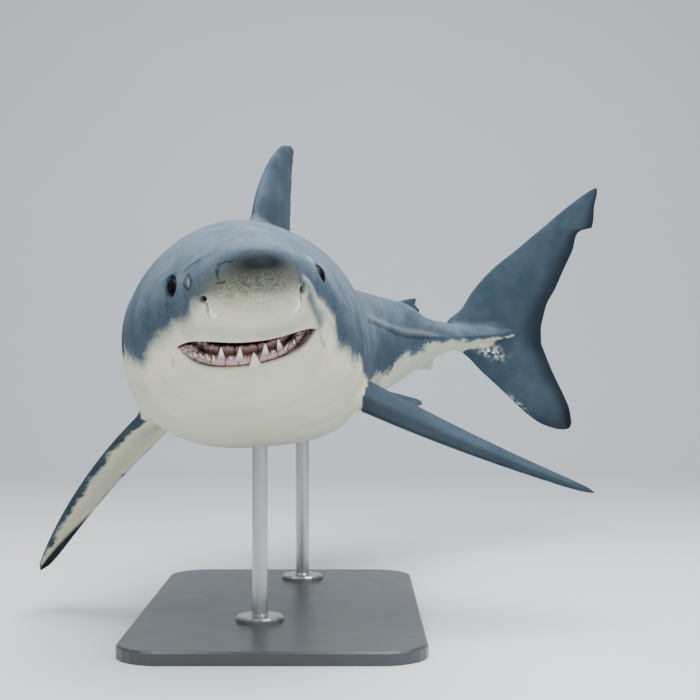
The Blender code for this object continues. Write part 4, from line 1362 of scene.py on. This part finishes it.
def add(
    tree: Tree, kind: str, inputs: dict | None = None, stops: tuple = (), **settings: object
) -> bpy.types.Node:
    """Adds a node with its settings and links.

    Args:
        tree: the material's nodes.
        kind: Blender's node type without its ShaderNode prefix.
        inputs: by socket name or number, an output or a node (its first in use) to link, a hex code or a value.
        stops: a colour ramp's (position, hex code) pairs.
        settings: the node's own properties.

    Returns:
        The node.
    """
    node = tree.nodes.new("ShaderNode" + kind)
    for name, value in settings.items():
        setattr(node, name, value)
    for name, value in (inputs or {}).items():
        if isinstance(value, bpy.types.Node):
            value = next(socket for socket in value.outputs if socket.enabled)
        if isinstance(value, bpy.types.NodeSocket):
            tree.links.new(value, node.inputs[name])
        else:
            node.inputs[name].default_value = colour(value) if isinstance(value, str) else value
    for index, (position, code) in enumerate(stops):
        ramp = node.color_ramp.elements
        stop = ramp[index] if index < len(ramp) else ramp.new(position)
        stop.position, stop.color = position, colour(code)
    return node


@dataclass(frozen=True)
class Finish:
    """A material's name and the plain settings of its shader."""

    name: str
    roughness: float = 0.4
    metallic: float = 0.0

    def inputs(self, tree: Tree) -> dict[str, object]:
        """What the shader's sockets take, by name."""
        raise NotImplementedError

    def build(self) -> bpy.types.Material:
        """A new material with one shader that takes the finish's inputs."""
        material = bpy.data.materials.new(self.name)
        material.use_nodes = True
        tree = material.node_tree
        tree.nodes.clear()
        plain = {"Roughness": self.roughness, "Metallic": self.metallic}
        shader = add(tree, "BsdfPrincipled", plain | self.inputs(tree))
        add(tree, "OutputMaterial", {"Surface": shader})
        return material


SKIN_MARKS = ("tide", "dark", "pale", "slate", "along", "mouth", "fin", "soot", "smudge", "speckle")
SKIN_NOISE = {  # scale per metre, detail, roughness, stretch
    "broad": (5.5, 5, 0.55, (1, 1, 1)), "ragged": (17, 6, 0.65, (1, 0.55, 1.2)),
    "fine": (90, 4, 0.55, (1, 0.6, 1)), "mottle": (9, 6, 0.60, (1, 0.7, 1)), "cloud": (7, 5, 0.55, (1, 1, 1)),
    "speck": (230, 3, 0.55, (1, 1, 1)), "flesh": (60, 4, 0.55, (1, 1, 1)), "grit": (150, 4, 0.70, (1, 1, 1)),
    "streak": (70, 5, 0.60, (1, 0.10, 1)), "ripple": (34, 5, 0.55, (1, 0.5, 1)),
}
# Each share's name, its operation, then marks, noises, earlier shares or numbers; a STEP's are from, to, low, high.
SKIN_SHARES = (
    ("calm", "STEP", "along", 0.02, 0.24, 0.30, 1), ("broad", "MULTIPLY_ADD", "broad noise", 0.070, -0.100),
    ("ragged", "MULTIPLY_ADD", "ragged noise", 0.110, "broad"),
    ("wander", "MULTIPLY_ADD", "fine noise", 0.020, "ragged"),
    ("level", "MULTIPLY_ADD", "wander", "calm", "tide"), ("soft", "STEP", "along", 0.26, 0.16, 0.013, 0.032),
    ("hard", "MULTIPLY", "soft", -1), ("upper", "STEP", "level", "hard", "soft", 0, 1),
    # crown, the second share here: the slate lighter high on the back, a painted highlight of light from above
    ("mottle", "STEP", "mottle noise", 0.32, 0.68, 0, 1), ("crown", "STEP", "level", 0.10, 0.34, 0, 1),
    # these two shares and their product on the next line mark a darker strip just above the line: painted shade low
    # on the sides
    ("flank", "STEP", "level", 0, 0.03, 0, 1), ("flank_top", "STEP", "level", 0.16, 0.05, 0, 1),
    ("flank_shade_band", "MULTIPLY", "flank", "flank_top"), ("cloud", "STEP", "cloud noise", 0.42, 0.75, 0, 1),
    # rear, the second share here, grows the painted shade on the belly towards the tail
    ("margin", "MULTIPLY", "fin", "cloud"), ("rear", "STEP", "along", 0.45, 0.80, 0, 1),
    ("speck", "STEP", "speck noise", 0.60, 0.72, 0, 1), ("near", "STEP", "level", -0.07, -0.005, 0, 1),
    # deep, the second share here, grows the painted shade on the belly further below the line
    ("near_speck", "MULTIPLY", "speck", "near"), ("deep", "STEP", "level", -0.03, -0.13, 0, 1),
    ("flesh", "STEP", "flesh noise", 0.35, 0.70, 0, 1), ("head", "STEP", "along", 0.16, 0.08, 0, 1),
    # the pale streaks over the head (the second share here) are painted highlights
    ("streak", "STEP", "streak noise", 0.54, 0.70, 0, 1), ("head_highlight_streak", "MULTIPLY", "streak", "head"),
    ("scratch", "STEP", "streak noise", 0.44, 0.30, 0, 1), ("head_scratch", "MULTIPLY", "scratch", "head"),
    ("grit", "STEP", "grit noise", 0.40, 0.58, 0.25, 1), ("speckled", "MULTIPLY", "speckle", "grit"),
    ("hole", "STEP", "flesh noise", 0.44, 0.53, -1, 0), ("keep", "MULTIPLY_ADD", "fin", "hole", 1),
    # the pale marks: scars, flaps and patches, and painted highlights on the brow and the ridges, broken up by
    # noise on the fins
    ("scar_and_highlight", "MULTIPLY", "pale", "keep"), ("sheen", "STEP", "mottle noise", 0.32, 0.68, 0.50, 0.62),
    ("wet", "MULTIPLY_ADD", "mouth", -0.12, "sheen"),
)
# the last tone here is the pale of the painted highlight streaks on the head
SLATE, SLATE_LIGHT, SLATE_DEEP, SLATE_MARGIN, STREAK_HIGHLIGHT = "#455666", "#75848F", "#293742", "#38454D", "#B4BFCB"
# the third and fourth tones here are painted shade on the belly: further below the line, and towards the tail
CREAM, CREAM_DULL, CREAM_LOW_SHADE, CREAM_REAR_SHADE, SCAR_AND_HIGHLIGHT = "#E6E0C2", "#B4B9A8", "#A9B0A2", "#8E9C97", "#F3F3EA"
# the last two tones also serve painted shade: in grooves, slits, sockets and nostrils, and near a pectoral fin's
# leading edge
SNOUT_OLIVE, SNOUT_GRIT, CHARCOAL, INK_AND_SHADE, SOOT_AND_SHADE = "#918F7B", "#494B44", "#12171B", "#15191D", "#14181C"
MOUTH_DARK, MOUTH_PINK = "#4E4643", "#A58C80"
SKIN_COATS = (  # the part a coat lies on, the share that shows it, its strength and its tone
    # crown: painted highlight high on the back; next line: the flank band, painted shade low on the sides, then the
    # head's pale streaks, painted highlights
    ("back", "mottle", 0.60, SLATE_LIGHT), ("back", "crown", 0.40, SLATE_LIGHT),
    ("back", "flank_shade_band", 0.55, SLATE_DEEP), ("back", "head_highlight_streak", 0.07, STREAK_HIGHLIGHT),
    ("back", "head_scratch", 0.25, SLATE_DEEP), ("back", "fin", 0.42, SLATE_DEEP),
    ("back", "margin", 0.45, SLATE_MARGIN), ("belly", "cloud", 0.50, CREAM_DULL),
    # deep and rear: painted shade on the belly, duller further below the line and grey-green towards the tail
    ("belly", "deep", 0.35, CREAM_LOW_SHADE), ("belly", "rear", 0.45, CREAM_REAR_SHADE),
    ("belly", "near_speck", 0.5, SLATE), ("whole", "upper", 1, "back"), ("whole", "speckle", 0.85, SNOUT_OLIVE),
    ("whole", "speckled", 0.78, SNOUT_GRIT), ("whole", "smudge", 0.98, CHARCOAL),
    # slate: a slate tone, painted shade in the hollows and over the upper lip; scar: scars, and painted highlights
    # on the brow and ridges; dark: scars, scratches and dark lines, and painted shade in grooves, slits, sockets
    # and nostrils
    ("whole", "slate", 0.85, SLATE), ("whole", "scar_and_highlight", 0.90, SCAR_AND_HIGHLIGHT), ("whole", "dark", 0.92, INK_AND_SHADE),
    # soot: black fin tips and trailing edges, and painted shade near a pectoral fin's leading edge
    ("whole", "soot", 1, SOOT_AND_SHADE), ("whole", "mouth", 1, "lining"),
)


@dataclass(frozen=True)
class SharkSkin(Finish):
    """Cast and painted skin: slate above a ragged line, cream below, with a satin, faintly pebbled surface.

    Real skin teeth are under 1 mm; the pebble here is 4 mm so that it shows at all.
    """

    def inputs(self, tree: Tree) -> dict[str, object]:
        """Mixes the tones by the marks on the mesh, each edge broken by noise on the model's own metres."""
        place = add(tree, "TexCoord").outputs["Object"]
        at = {name: add(tree, "Attribute", attribute_name=name).outputs["Fac"] for name in SKIN_MARKS}
        for name, (scale, detail, rough, stretch) in SKIN_NOISE.items():
            mapped = add(tree, "Mapping", {"Vector": place, "Scale": stretch})
            plain = {"Vector": mapped, "Scale": scale, "Detail": detail, "Roughness": rough}
            at[name + " noise"] = add(tree, "TexNoise", plain)
        for name, operation, *values in SKIN_SHARES:
            taken = {index: at.get(value, value) for index, value in enumerate(values)}
            step = operation == "STEP"
            settings = {"interpolation_type": "SMOOTHSTEP"} if step else {"operation": operation}
            at[name] = add(tree, "MapRange" if step else "Math", taken, **settings)
        lining = add(tree, "Mix", {0: at["flesh"], 6: MOUTH_DARK, 7: MOUTH_PINK}, data_type="RGBA")
        at |= {"back": SLATE, "belly": CREAM, "lining": lining}
        for part, share, strength, tone in SKIN_COATS:
            amount = add(tree, "Math", {0: at[share], 1: strength}, operation="MULTIPLY")
            under = at.get(part, at["belly"])
            at[part] = add(tree, "Mix", {0: amount, 6: under, 7: at.get(tone, tone)}, data_type="RGBA")
        grain = add(tree, "Mix", {0: at["fine noise"], 6: "#7F8B93", 7: "#F2F2EC"}, data_type="RGBA")
        last = add(tree, "Mix", {0: 0.12, 6: at["whole"], 7: grain}, data_type="RGBA", blend_type="OVERLAY")
        pebble = add(tree, "TexVoronoi", {"Vector": place, "Scale": 260.0}, feature="F1")
        dimple = add(tree, "Bump", {"Strength": 0.10, "Distance": 0.0012, "Height": pebble})
        ripple = {"Strength": 0.35, "Distance": 0.004, "Height": at["ripple noise"], "Normal": dimple}
        return {
            "Base Color": last, "Roughness": at["wet"], "Normal": add(tree, "Bump", ripple),
            "Specular IOR Level": 0.04,
        }


@dataclass(frozen=True)
class EyeGloss(Finish):
    """Cast clear resin over a blue-black iris: wet gloss, almost no colour."""

    def inputs(self, tree: Tree) -> dict[str, object]:
        """Black pupil, then a blue-black ring, then a darker rim, by the distance from the ball's middle."""
        iris = add(tree, "Attribute", attribute_name="iris").outputs["Fac"]
        ramp = add(tree, "ValToRGB", {0: iris}, ((0.36, "#020304"), (0.44, "#0B131F"), (0.80, "#040608")))
        return {"Base Color": ramp, "Specular IOR Level": 0.05, "Coat Weight": 0.01, "Coat Roughness": 0.03}


@dataclass(frozen=True)
class GumFlesh(Finish):
    """Painted and varnished soft resin: pink and mauve, browner and crowded at the corners, wet."""

    def inputs(self, tree: Tree) -> dict[str, object]:
        """Pink broken by mauve blotches 20 mm wide, greyer towards the corners, painted shade as dark lines in
        dips.
        """
        place = add(tree, "TexCoord").outputs["Object"]
        marks = ("corner", "lump")
        corner, lump = (add(tree, "Attribute", attribute_name=mark).outputs["Fac"] for mark in marks)
        blotch = add(tree, "TexNoise", {"Vector": place, "Scale": 48.0, "Detail": 4.0})
        crumb = add(tree, "TexNoise", {"Vector": place, "Scale": 150.0, "Detail": 3.0})
        pink = add(tree, "Mix", {0: blotch, 6: "#A5807F", 7: "#CFA9A0"}, data_type="RGBA")
        spread = add(tree, "MapRange", {0: crumb, 1: 0.35, 2: 0.65})
        mauve = add(tree, "Mix", {0: spread, 6: "#5C4E4E", 7: "#C2A398"}, data_type="RGBA")
        tone = add(tree, "Mix", {0: corner, 6: pink, 7: mauve}, data_type="RGBA")
        # dark in the dips between the gum's lumps: painted shade
        dip_shade = add(tree, "MapRange", {0: lump, 1: 0.22, 2: 0.05, 3: 0.0, 4: 0.8})
        tone = add(tree, "Mix", {0: dip_shade, 6: tone, 7: "#4A3434"}, data_type="RGBA")
        ripple = add(tree, "Bump", {"Strength": 0.5, "Distance": 0.002, "Height": crumb})
        return {"Base Color": tone, "Normal": ripple}


@dataclass(frozen=True)
class ToothEnamel(Finish):
    """Cast ivory resin: cream at the tip, stained blue-grey at the root, polished."""

    def inputs(self, tree: Tree) -> dict[str, object]:
        """Runs from the stained root to the cream tip by height."""
        up = add(tree, "Attribute", attribute_name="up").outputs["Fac"]
        return {"Base Color": add(tree, "ValToRGB", {0: up}, ((0.0, "#77808A"), (0.50, "#EAE4CF")))}


@dataclass(frozen=True)
class Grained(Finish):
    """A plain material broken by one noise: its tones, its roughness and its bump follow the grain."""

    scale: float = 1.0
    stretch: Triple | None = None
    detail: float = 2.0
    tones: tuple[str, str] = ("#000000", "#FFFFFF")
    gloss: tuple[float, float] | None = None
    peel: Triple | None = None  # the bump's own scale (0 for the grain's), strength, metres

    def inputs(self, tree: Tree) -> dict[str, object]:
        """Two tones mixed by the grain, with the roughness and the bump where they are given."""
        place = add(tree, "TexCoord").outputs["Object"]
        if self.stretch:
            place = add(tree, "Mapping", {"Vector": place, "Scale": self.stretch})
        grain = add(tree, "TexNoise", {"Vector": place, "Scale": self.scale, "Detail": self.detail})
        low, high = self.tones
        taken = {"Base Color": add(tree, "Mix", {0: grain, 6: low, 7: high}, data_type="RGBA")}
        if self.gloss:
            taken["Roughness"] = add(tree, "MapRange", {0: grain, 3: self.gloss[0], 4: self.gloss[1]})
        if self.peel:
            scale, strength, metres = self.peel
            peel = add(tree, "TexNoise", {"Vector": place, "Scale": scale, "Detail": 2.0}) if scale else grain
            taken["Normal"] = add(tree, "Bump", {"Strength": strength, "Distance": metres, "Height": peel})
        return taken


# Sprayed satin lacquer on board: charcoal, its roughness varied over 60 mm, with a 3 mm orange-peel ripple.
SATIN_LACQUER = Grained(
    "satin charcoal lacquer", 0.35, scale=16.0, detail=5.0, tones=("#3A3E42", "#474B4F"), gloss=(0.28, 0.42),
    peel=(330.0, 0.12, 0.0004),
)
# Turned and brushed stainless steel: fine level rings 1.5 mm apart round each rod, in tone, gloss and bump.
BRUSHED_STEEL = Grained(
    "brushed stainless steel", 0.3, 1.0, stretch=(3.0, 3.0, 650.0), detail=4.0, tones=("#A9ABAD", "#C6C8CA"),
    gloss=(0.24, 0.40), peel=(0.0, 0.10, 0.0003),
)
# Matt pale backdrop paper: one tone with the faintest mottle.
STUDIO_PAPER = Grained("matt studio paper", 0.9, scale=0.7, tones=("#DDE3E8", "#E3E8EC"))


# ---------------------------------------------------------------- the model
EYE_TILT = -45.0  # degrees by which the eyes' long axes lean


@dataclass
class SharkModel:
    """Every piece of the fish, built in order."""

    spine: Spine = field(default_factory=Spine)
    mouth: Mouth = field(default_factory=Mouth)

    def __post_init__(self) -> None:
        """The body and its markings share the one spine."""
        self.body = Body(self.spine)
        self.markings = Markings(self.body)

    def openings(self) -> dict[Side, list[Opening]]:
        """The eye socket and the nostril of each side."""
        socket = (
            (0, -0.022), (0.80, -0.020), (0.92, -0.010), (0.97, -0.005), (1.0, -0.003), (1.06, -0.0008),
            (1.20, 0.0010), (1.5, 0.0006), (1.9, 0), (9, 0),
        )
        nostril = (
            (0, -0.018), (0.6, -0.017), (0.9, -0.010), (1.05, -0.0010), (1.30, 0.0024), (1.6, 0.0008), (2.0, 0),
            (9, 0),
        )
        # per opening: the (outer, inner) reach of the painted shade in and round the hole, then how far out the
        # patch clears
        eye, nose = ((1.30, 1.00), 1.9), ((1.20, 0.78), 2.1)
        return {
            Side.LEFT: [Opening(0.0800, 19.2, 0.0220, 0.0330, socket, EYE_TILT, *eye),
                        Opening(0.0290, -20.9, 0.0140, 0.0122, nostril, -44.0, *nose)],
            Side.RIGHT: [Opening(0.0668, 17.6, 0.0230, 0.0335, socket, EYE_TILT, *eye),
                         Opening(0.0321, -17.4, 0.0112, 0.0108, nostril, 0.0, *nose)],
        }

    def folds(self) -> list[Shell]:
        """The curled flap under each nostril, and the peak of the lower lip between the front teeth."""
        flaps = (
            Fold(Side.RIGHT, ((0.0310, -27), (0.0335, -35), (0.0352, -42), (0.0352, -47)), 0.0130),
            Fold(Side.LEFT, ((0.0285, -30), (0.0330, -37), (0.0356, -43), (0.0350, -48.5)), 0.0120),
        )
        lip = Tooth(0.015, 0.100, -0.12, 0.56, -0.030)
        peak = ToothRow(self.spine, self.mouth, (lip,), (1.0, 0.985), thick=0.005)
        return [*(flap.build(self.body) for flap in flaps), *peak.build()]

    def fins(self) -> list[Fin]:
        """All eight fins."""
        common = {"body": self.body, "markings": self.markings}
        small = common | {
            "swell": 0.12, "fairing": (0.015, 0.008, 0.004), "rows": 28, "around": 32, "round_from": 0.93,
        }
        made: list[Fin] = [
            MidlineFin("fin_dorsal_first", swell=0.125, fairing=(0.055, 0.026, 0.010), outline=(
                (-0.25, 0.350, 0.462), (0, 0.352, 0.478), (0.08, 0.356, 0.464), (0.36, 0.373, 0.467),
                (0.64, 0.399, 0.471), (0.88, 0.430, 0.475), (0.97, 0.447, 0.477), (1, 0.460, 0.472),
            ), base=0.0900, height=0.0870, yaw=3, tone=0.12, **common),
            MidlineFin("fin_dorsal_second", start=-0.7, outline=(
                (-0.7, 0.730, 0.757), (0, 0.728, 0.765), (0.5, 0.730, 0.759), (0.77, 0.733, 0.760),
                (0.93, 0.745, 0.7605), (1, 0.754, 0.7603),
            ), base=0.0300, height=0.0130, tone=0.10, **small),
            MidlineFin("fin_anal", start=-0.5, outline=(
                (-0.5, 0.758, 0.780), (0, 0.754, 0.787), (0.5, 0.755, 0.7845), (0.88, 0.760, 0.7835),
                (1, 0.773, 0.7828),
            ), base=-0.0200, height=-0.0160, tone=-0.06, **small),
            CaudalFin("fin_caudal", swell=0.085, rows=70, around=60, upper=(
                (0, 0.800, 0.9247), (0.10, 0.806, 0.928), (0.18, 0.825, 0.932), (0.29, 0.8390, 0.943),
                (0.46, 0.8687, 0.9573), (0.56, 0.8925, 0.966), (0.70, 0.9235, 0.9753), (0.713, 0.9265, 0.9905),
                (0.87, 0.9607, 0.9948), (0.97, 0.986, 0.9985), (1, 0.995, 0.9988),
            ), lower=(
                (0, 0.800, 0.9247), (0.10, 0.812, 0.9247), (0.20, 0.8305, 0.928), (0.36, 0.8495, 0.935),
                (0.50, 0.867, 0.942), (0.66, 0.886, 0.951), (0.82, 0.905, 0.9575), (0.93, 0.9225, 0.959),
                (1, 0.9430, 0.956),
            ), round_from=0.985, **common),
        ]
        pectoral = common | {
            "swell": 0.105, "fairing": (0.060, 0.026, 0.012), "start": -0.12, "rows": 80, "around": 56,
            "root": (0.2643, 0.0645, -0.0483), "span": 0.2027, "sweep": 0.1067, "chords": (
                (-0.12, 0.088), (0, 0.084), (0.25, 0.072), (0.5, 0.056), (0.75, 0.038), (0.9, 0.025),
                (0.97, 0.015), (1, 0.006),
            ),
        }
        pelvic = common | {
            "swell": 0.10, "fairing": (0.022, 0.012, 0.006), "start": -0.3, "rows": 34, "around": 36,
            "root": (0.574, 0.030, -0.054), "span": 0.060, "sweep": 0.030, "chords": (
                (-0.3, 0.056), (0, 0.056), (0.3, 0.049), (0.6, 0.037), (0.85, 0.024), (1, 0.009),
            ), "pose": (0, 10, 2, -14, -14), "tip_soot": 0.3, "band": 0.05, "round_from": 0.92,
        }
        # each side's pose, and the strength of the painted shade near its leading edge
        swept = {
            Side.LEFT: ((-10.6, 30.9, 24.6, -18.0, -15.5), 0.55),
            Side.RIGHT: ((6.7, 30.0, 56.6, 8.6, 20.8), 0.2),
        }
        for side, (pose, shade) in swept.items():
            pectoral |= {"pose": pose, "lead_shade": shade}
            made.append(PairedFin(f"fin_pectoral_{side.word}", side=side, **pectoral))
            made.append(PairedFin(f"fin_pelvic_{side.word}", side=side, **pelvic))
        return made

    def head_parts(self) -> None:
        """Eyes, gums and teeth."""
        gloss = EyeGloss("clear resin eye", roughness=0.24).build()
        balls = {Side.LEFT: ((0.0245, 0.0215, 0.0375), 0.0108), Side.RIGHT: ((0.0255, 0.0215, 0.0380), 0.0088)}
        for side, (radii, proud) in balls.items():
            ball = Eye(self.body, side, self.openings()[side][0], radii, proud, EYE_TILT)
            eye = made_object(f"eye_ball_{side.word}", ball.build(), gloss)
            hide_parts(f"eye_{side.word}")
        flesh = GumFlesh("varnished gum", roughness=0.22).build()
        enamel = ToothEnamel("ivory tooth resin", roughness=0.25).build()
        places = np.linspace(-0.80, 0.80, 13)
        upper = tuple(Tooth(float(place), 0.034 * (1 - 0.45 * place**2), 0.90, 0.77) for place in places)
        jaws = {
            "lower": ([((0.975, 0), (0.965, 0.24), (0.93, 0.35), (0.87, 0.33), (0.84, 0)),
                       ((0.83, 0), (0.82, 0.46), (0.79, 0.62), (0.73, 0.60), (0.68, 0))],
                      LOWER_TEETH, (0.955, 0.965)),
            "upper": ([((0.82, 1), (0.81, 0.88), (0.76, 0.80), (0.68, 0.82), (0.64, 1))],
                      upper, (0.755, 0.770)),
        }
        for word, (outlines, teeth, inward) in jaws.items():
            ridges = [
                Gum(self.spine, self.mouth, line, lumps=12 - 3 * k).build() for k, line in enumerate(outlines)
            ]
            ridge = made_object(f"gum_ridge_{word}", join(ridges), flesh)
            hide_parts(f"gum_{word}")
            row = ToothRow(self.spine, self.mouth, teeth, inward)
            crown = made_object(f"teeth_{word}", join(row.build()), enamel, sharp=50)
            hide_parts(f"gum_{word}")

    def build(self) -> None:
        """Skin, then eyes, gums and teeth, each standing for the solids it replaces."""
        skin = BodySkin(self.body, self.mouth, self.markings).build(self.openings())
        fins = self.fins()
        skin = join([skin, *self.folds(), *(fin.build() for fin in fins)])
        piece = made_object("shark_skin", skin, SharkSkin("painted cast shark skin").build())
        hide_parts("head", "lower_jaw", "trunk", "tail_stalk", *(fin.name for fin in fins))
        self.head_parts()


@dataclass
class Stand:
    """The plain display stand keeps the frame's own solids and only gets its finishes."""

    def dress(self, nodes: dict[str, bpy.types.Object]) -> None:
        """Lacquer on the base, brushed steel on the rods."""
        lacquer, steel = SATIN_LACQUER.build(), BRUSHED_STEEL.build()
        for name, node in nodes.items():
            if name.startswith("stand_"):
                finish = lacquer if name == "stand_base" else steel
                for slot in node.material_slots:
                    slot.material = finish


@dataclass
class Studio:
    """Pale paper swept up behind the model, soft lights, and the camera."""

    camera_place: Triple = (0.2238, -4.6984, 0.8804)
    focal_length: float = 73.0
    half_width: float = 11.0
    front: float = -9.0
    back: float = 7.5
    rise: float = 9.0
    bend: float = 2.2
    air: str = "#E2E8EE"
    air_strength: float = 0.42

    def paper(self) -> None:
        """A sheet that lies flat, turns up through a quarter circle and stands."""
        corner = np.linspace(0, np.pi / 2, 24)
        y = np.concatenate([[self.front], self.back - self.bend + self.bend * np.sin(corner), [self.back]])
        z = np.concatenate([[0], self.bend * (1 - np.cos(corner)), [self.rise]])
        x = np.array((-self.half_width, self.half_width))
        points = np.stack(np.broadcast_arrays(x[None], y[:, None], z[:, None]), -1).reshape(-1, 3)
        mesh = bpy.data.meshes.new("studio_paper")
        mesh.from_pydata(points.tolist(), [], grid_faces(len(y), 2, closed=False).tolist())
        mesh.shade_smooth()
        mesh.materials.append(STUDIO_PAPER.build())
        sheet = bpy.data.objects.new("studio_paper", mesh)
        bpy.context.scene.collection.objects.link(sheet)

    def light(self, name: str, place: Triple, aim: Triple, size: float, watts: float, tint: str) -> None:
        """One soft square lamp aimed at a point."""
        data = bpy.data.lights.new(name, "AREA")
        data.shape, data.size, data.energy, data.color = "SQUARE", size, watts, colour(tint)[:3]
        lamp = bpy.data.objects.new(name, data)
        away = Vector(place) - Vector(aim)
        turned = away.to_track_quat("Z", "Y").to_matrix().to_4x4()
        lamp.matrix_world = Matrix.Translation(Vector(place)) @ turned
        bpy.context.scene.collection.objects.link(lamp)

    def camera(self) -> None:
        """Level, looking along +Y, with no shift and no blur."""
        data = bpy.data.cameras.new("camera")
        data.lens, data.sensor_width, data.clip_end = self.focal_length, 36.0, 100
        made = bpy.data.objects.new("camera", data)
        made.location, made.rotation_euler = self.camera_place, (np.pi / 2, 0, 0)
        bpy.context.scene.collection.objects.link(made)
        bpy.context.scene.camera = made

    def build(self) -> None:
        """Paper, lights, sky and camera."""
        self.paper()
        self.light("top_light", (0.6, -1.2, 5.2), (0.1, -0.2, 0.9), 5.6, 680, "#FFFFFF")
        self.light("front_light", (-1.8, -5.2, 3.4), (0.0, -1.0, 0.9), 3.0, 80, "#FFFDF8")
        self.light("fill_light", (4.0, -3.0, 2.2), (0.3, 0.0, 0.9), 3.0, 45, "#EAF2FF")
        world = bpy.data.worlds.new("studio_air")
        world.use_nodes = True
        tone, strength = world.node_tree.nodes["Background"].inputs[:2]
        tone.default_value, strength.default_value = colour(self.air), self.air_strength
        bpy.context.scene.world = world
        self.camera()


def main() -> None:
    """Loads the frame, builds the model, dresses the stand and lights the scene."""
    logging.basicConfig(level=logging.INFO, format="%(name)s: %(message)s")
    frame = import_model()
    SharkModel().build()
    Stand().dress(frame["nodes"])
    Studio().build()


if __name__ == "__main__":
    main()
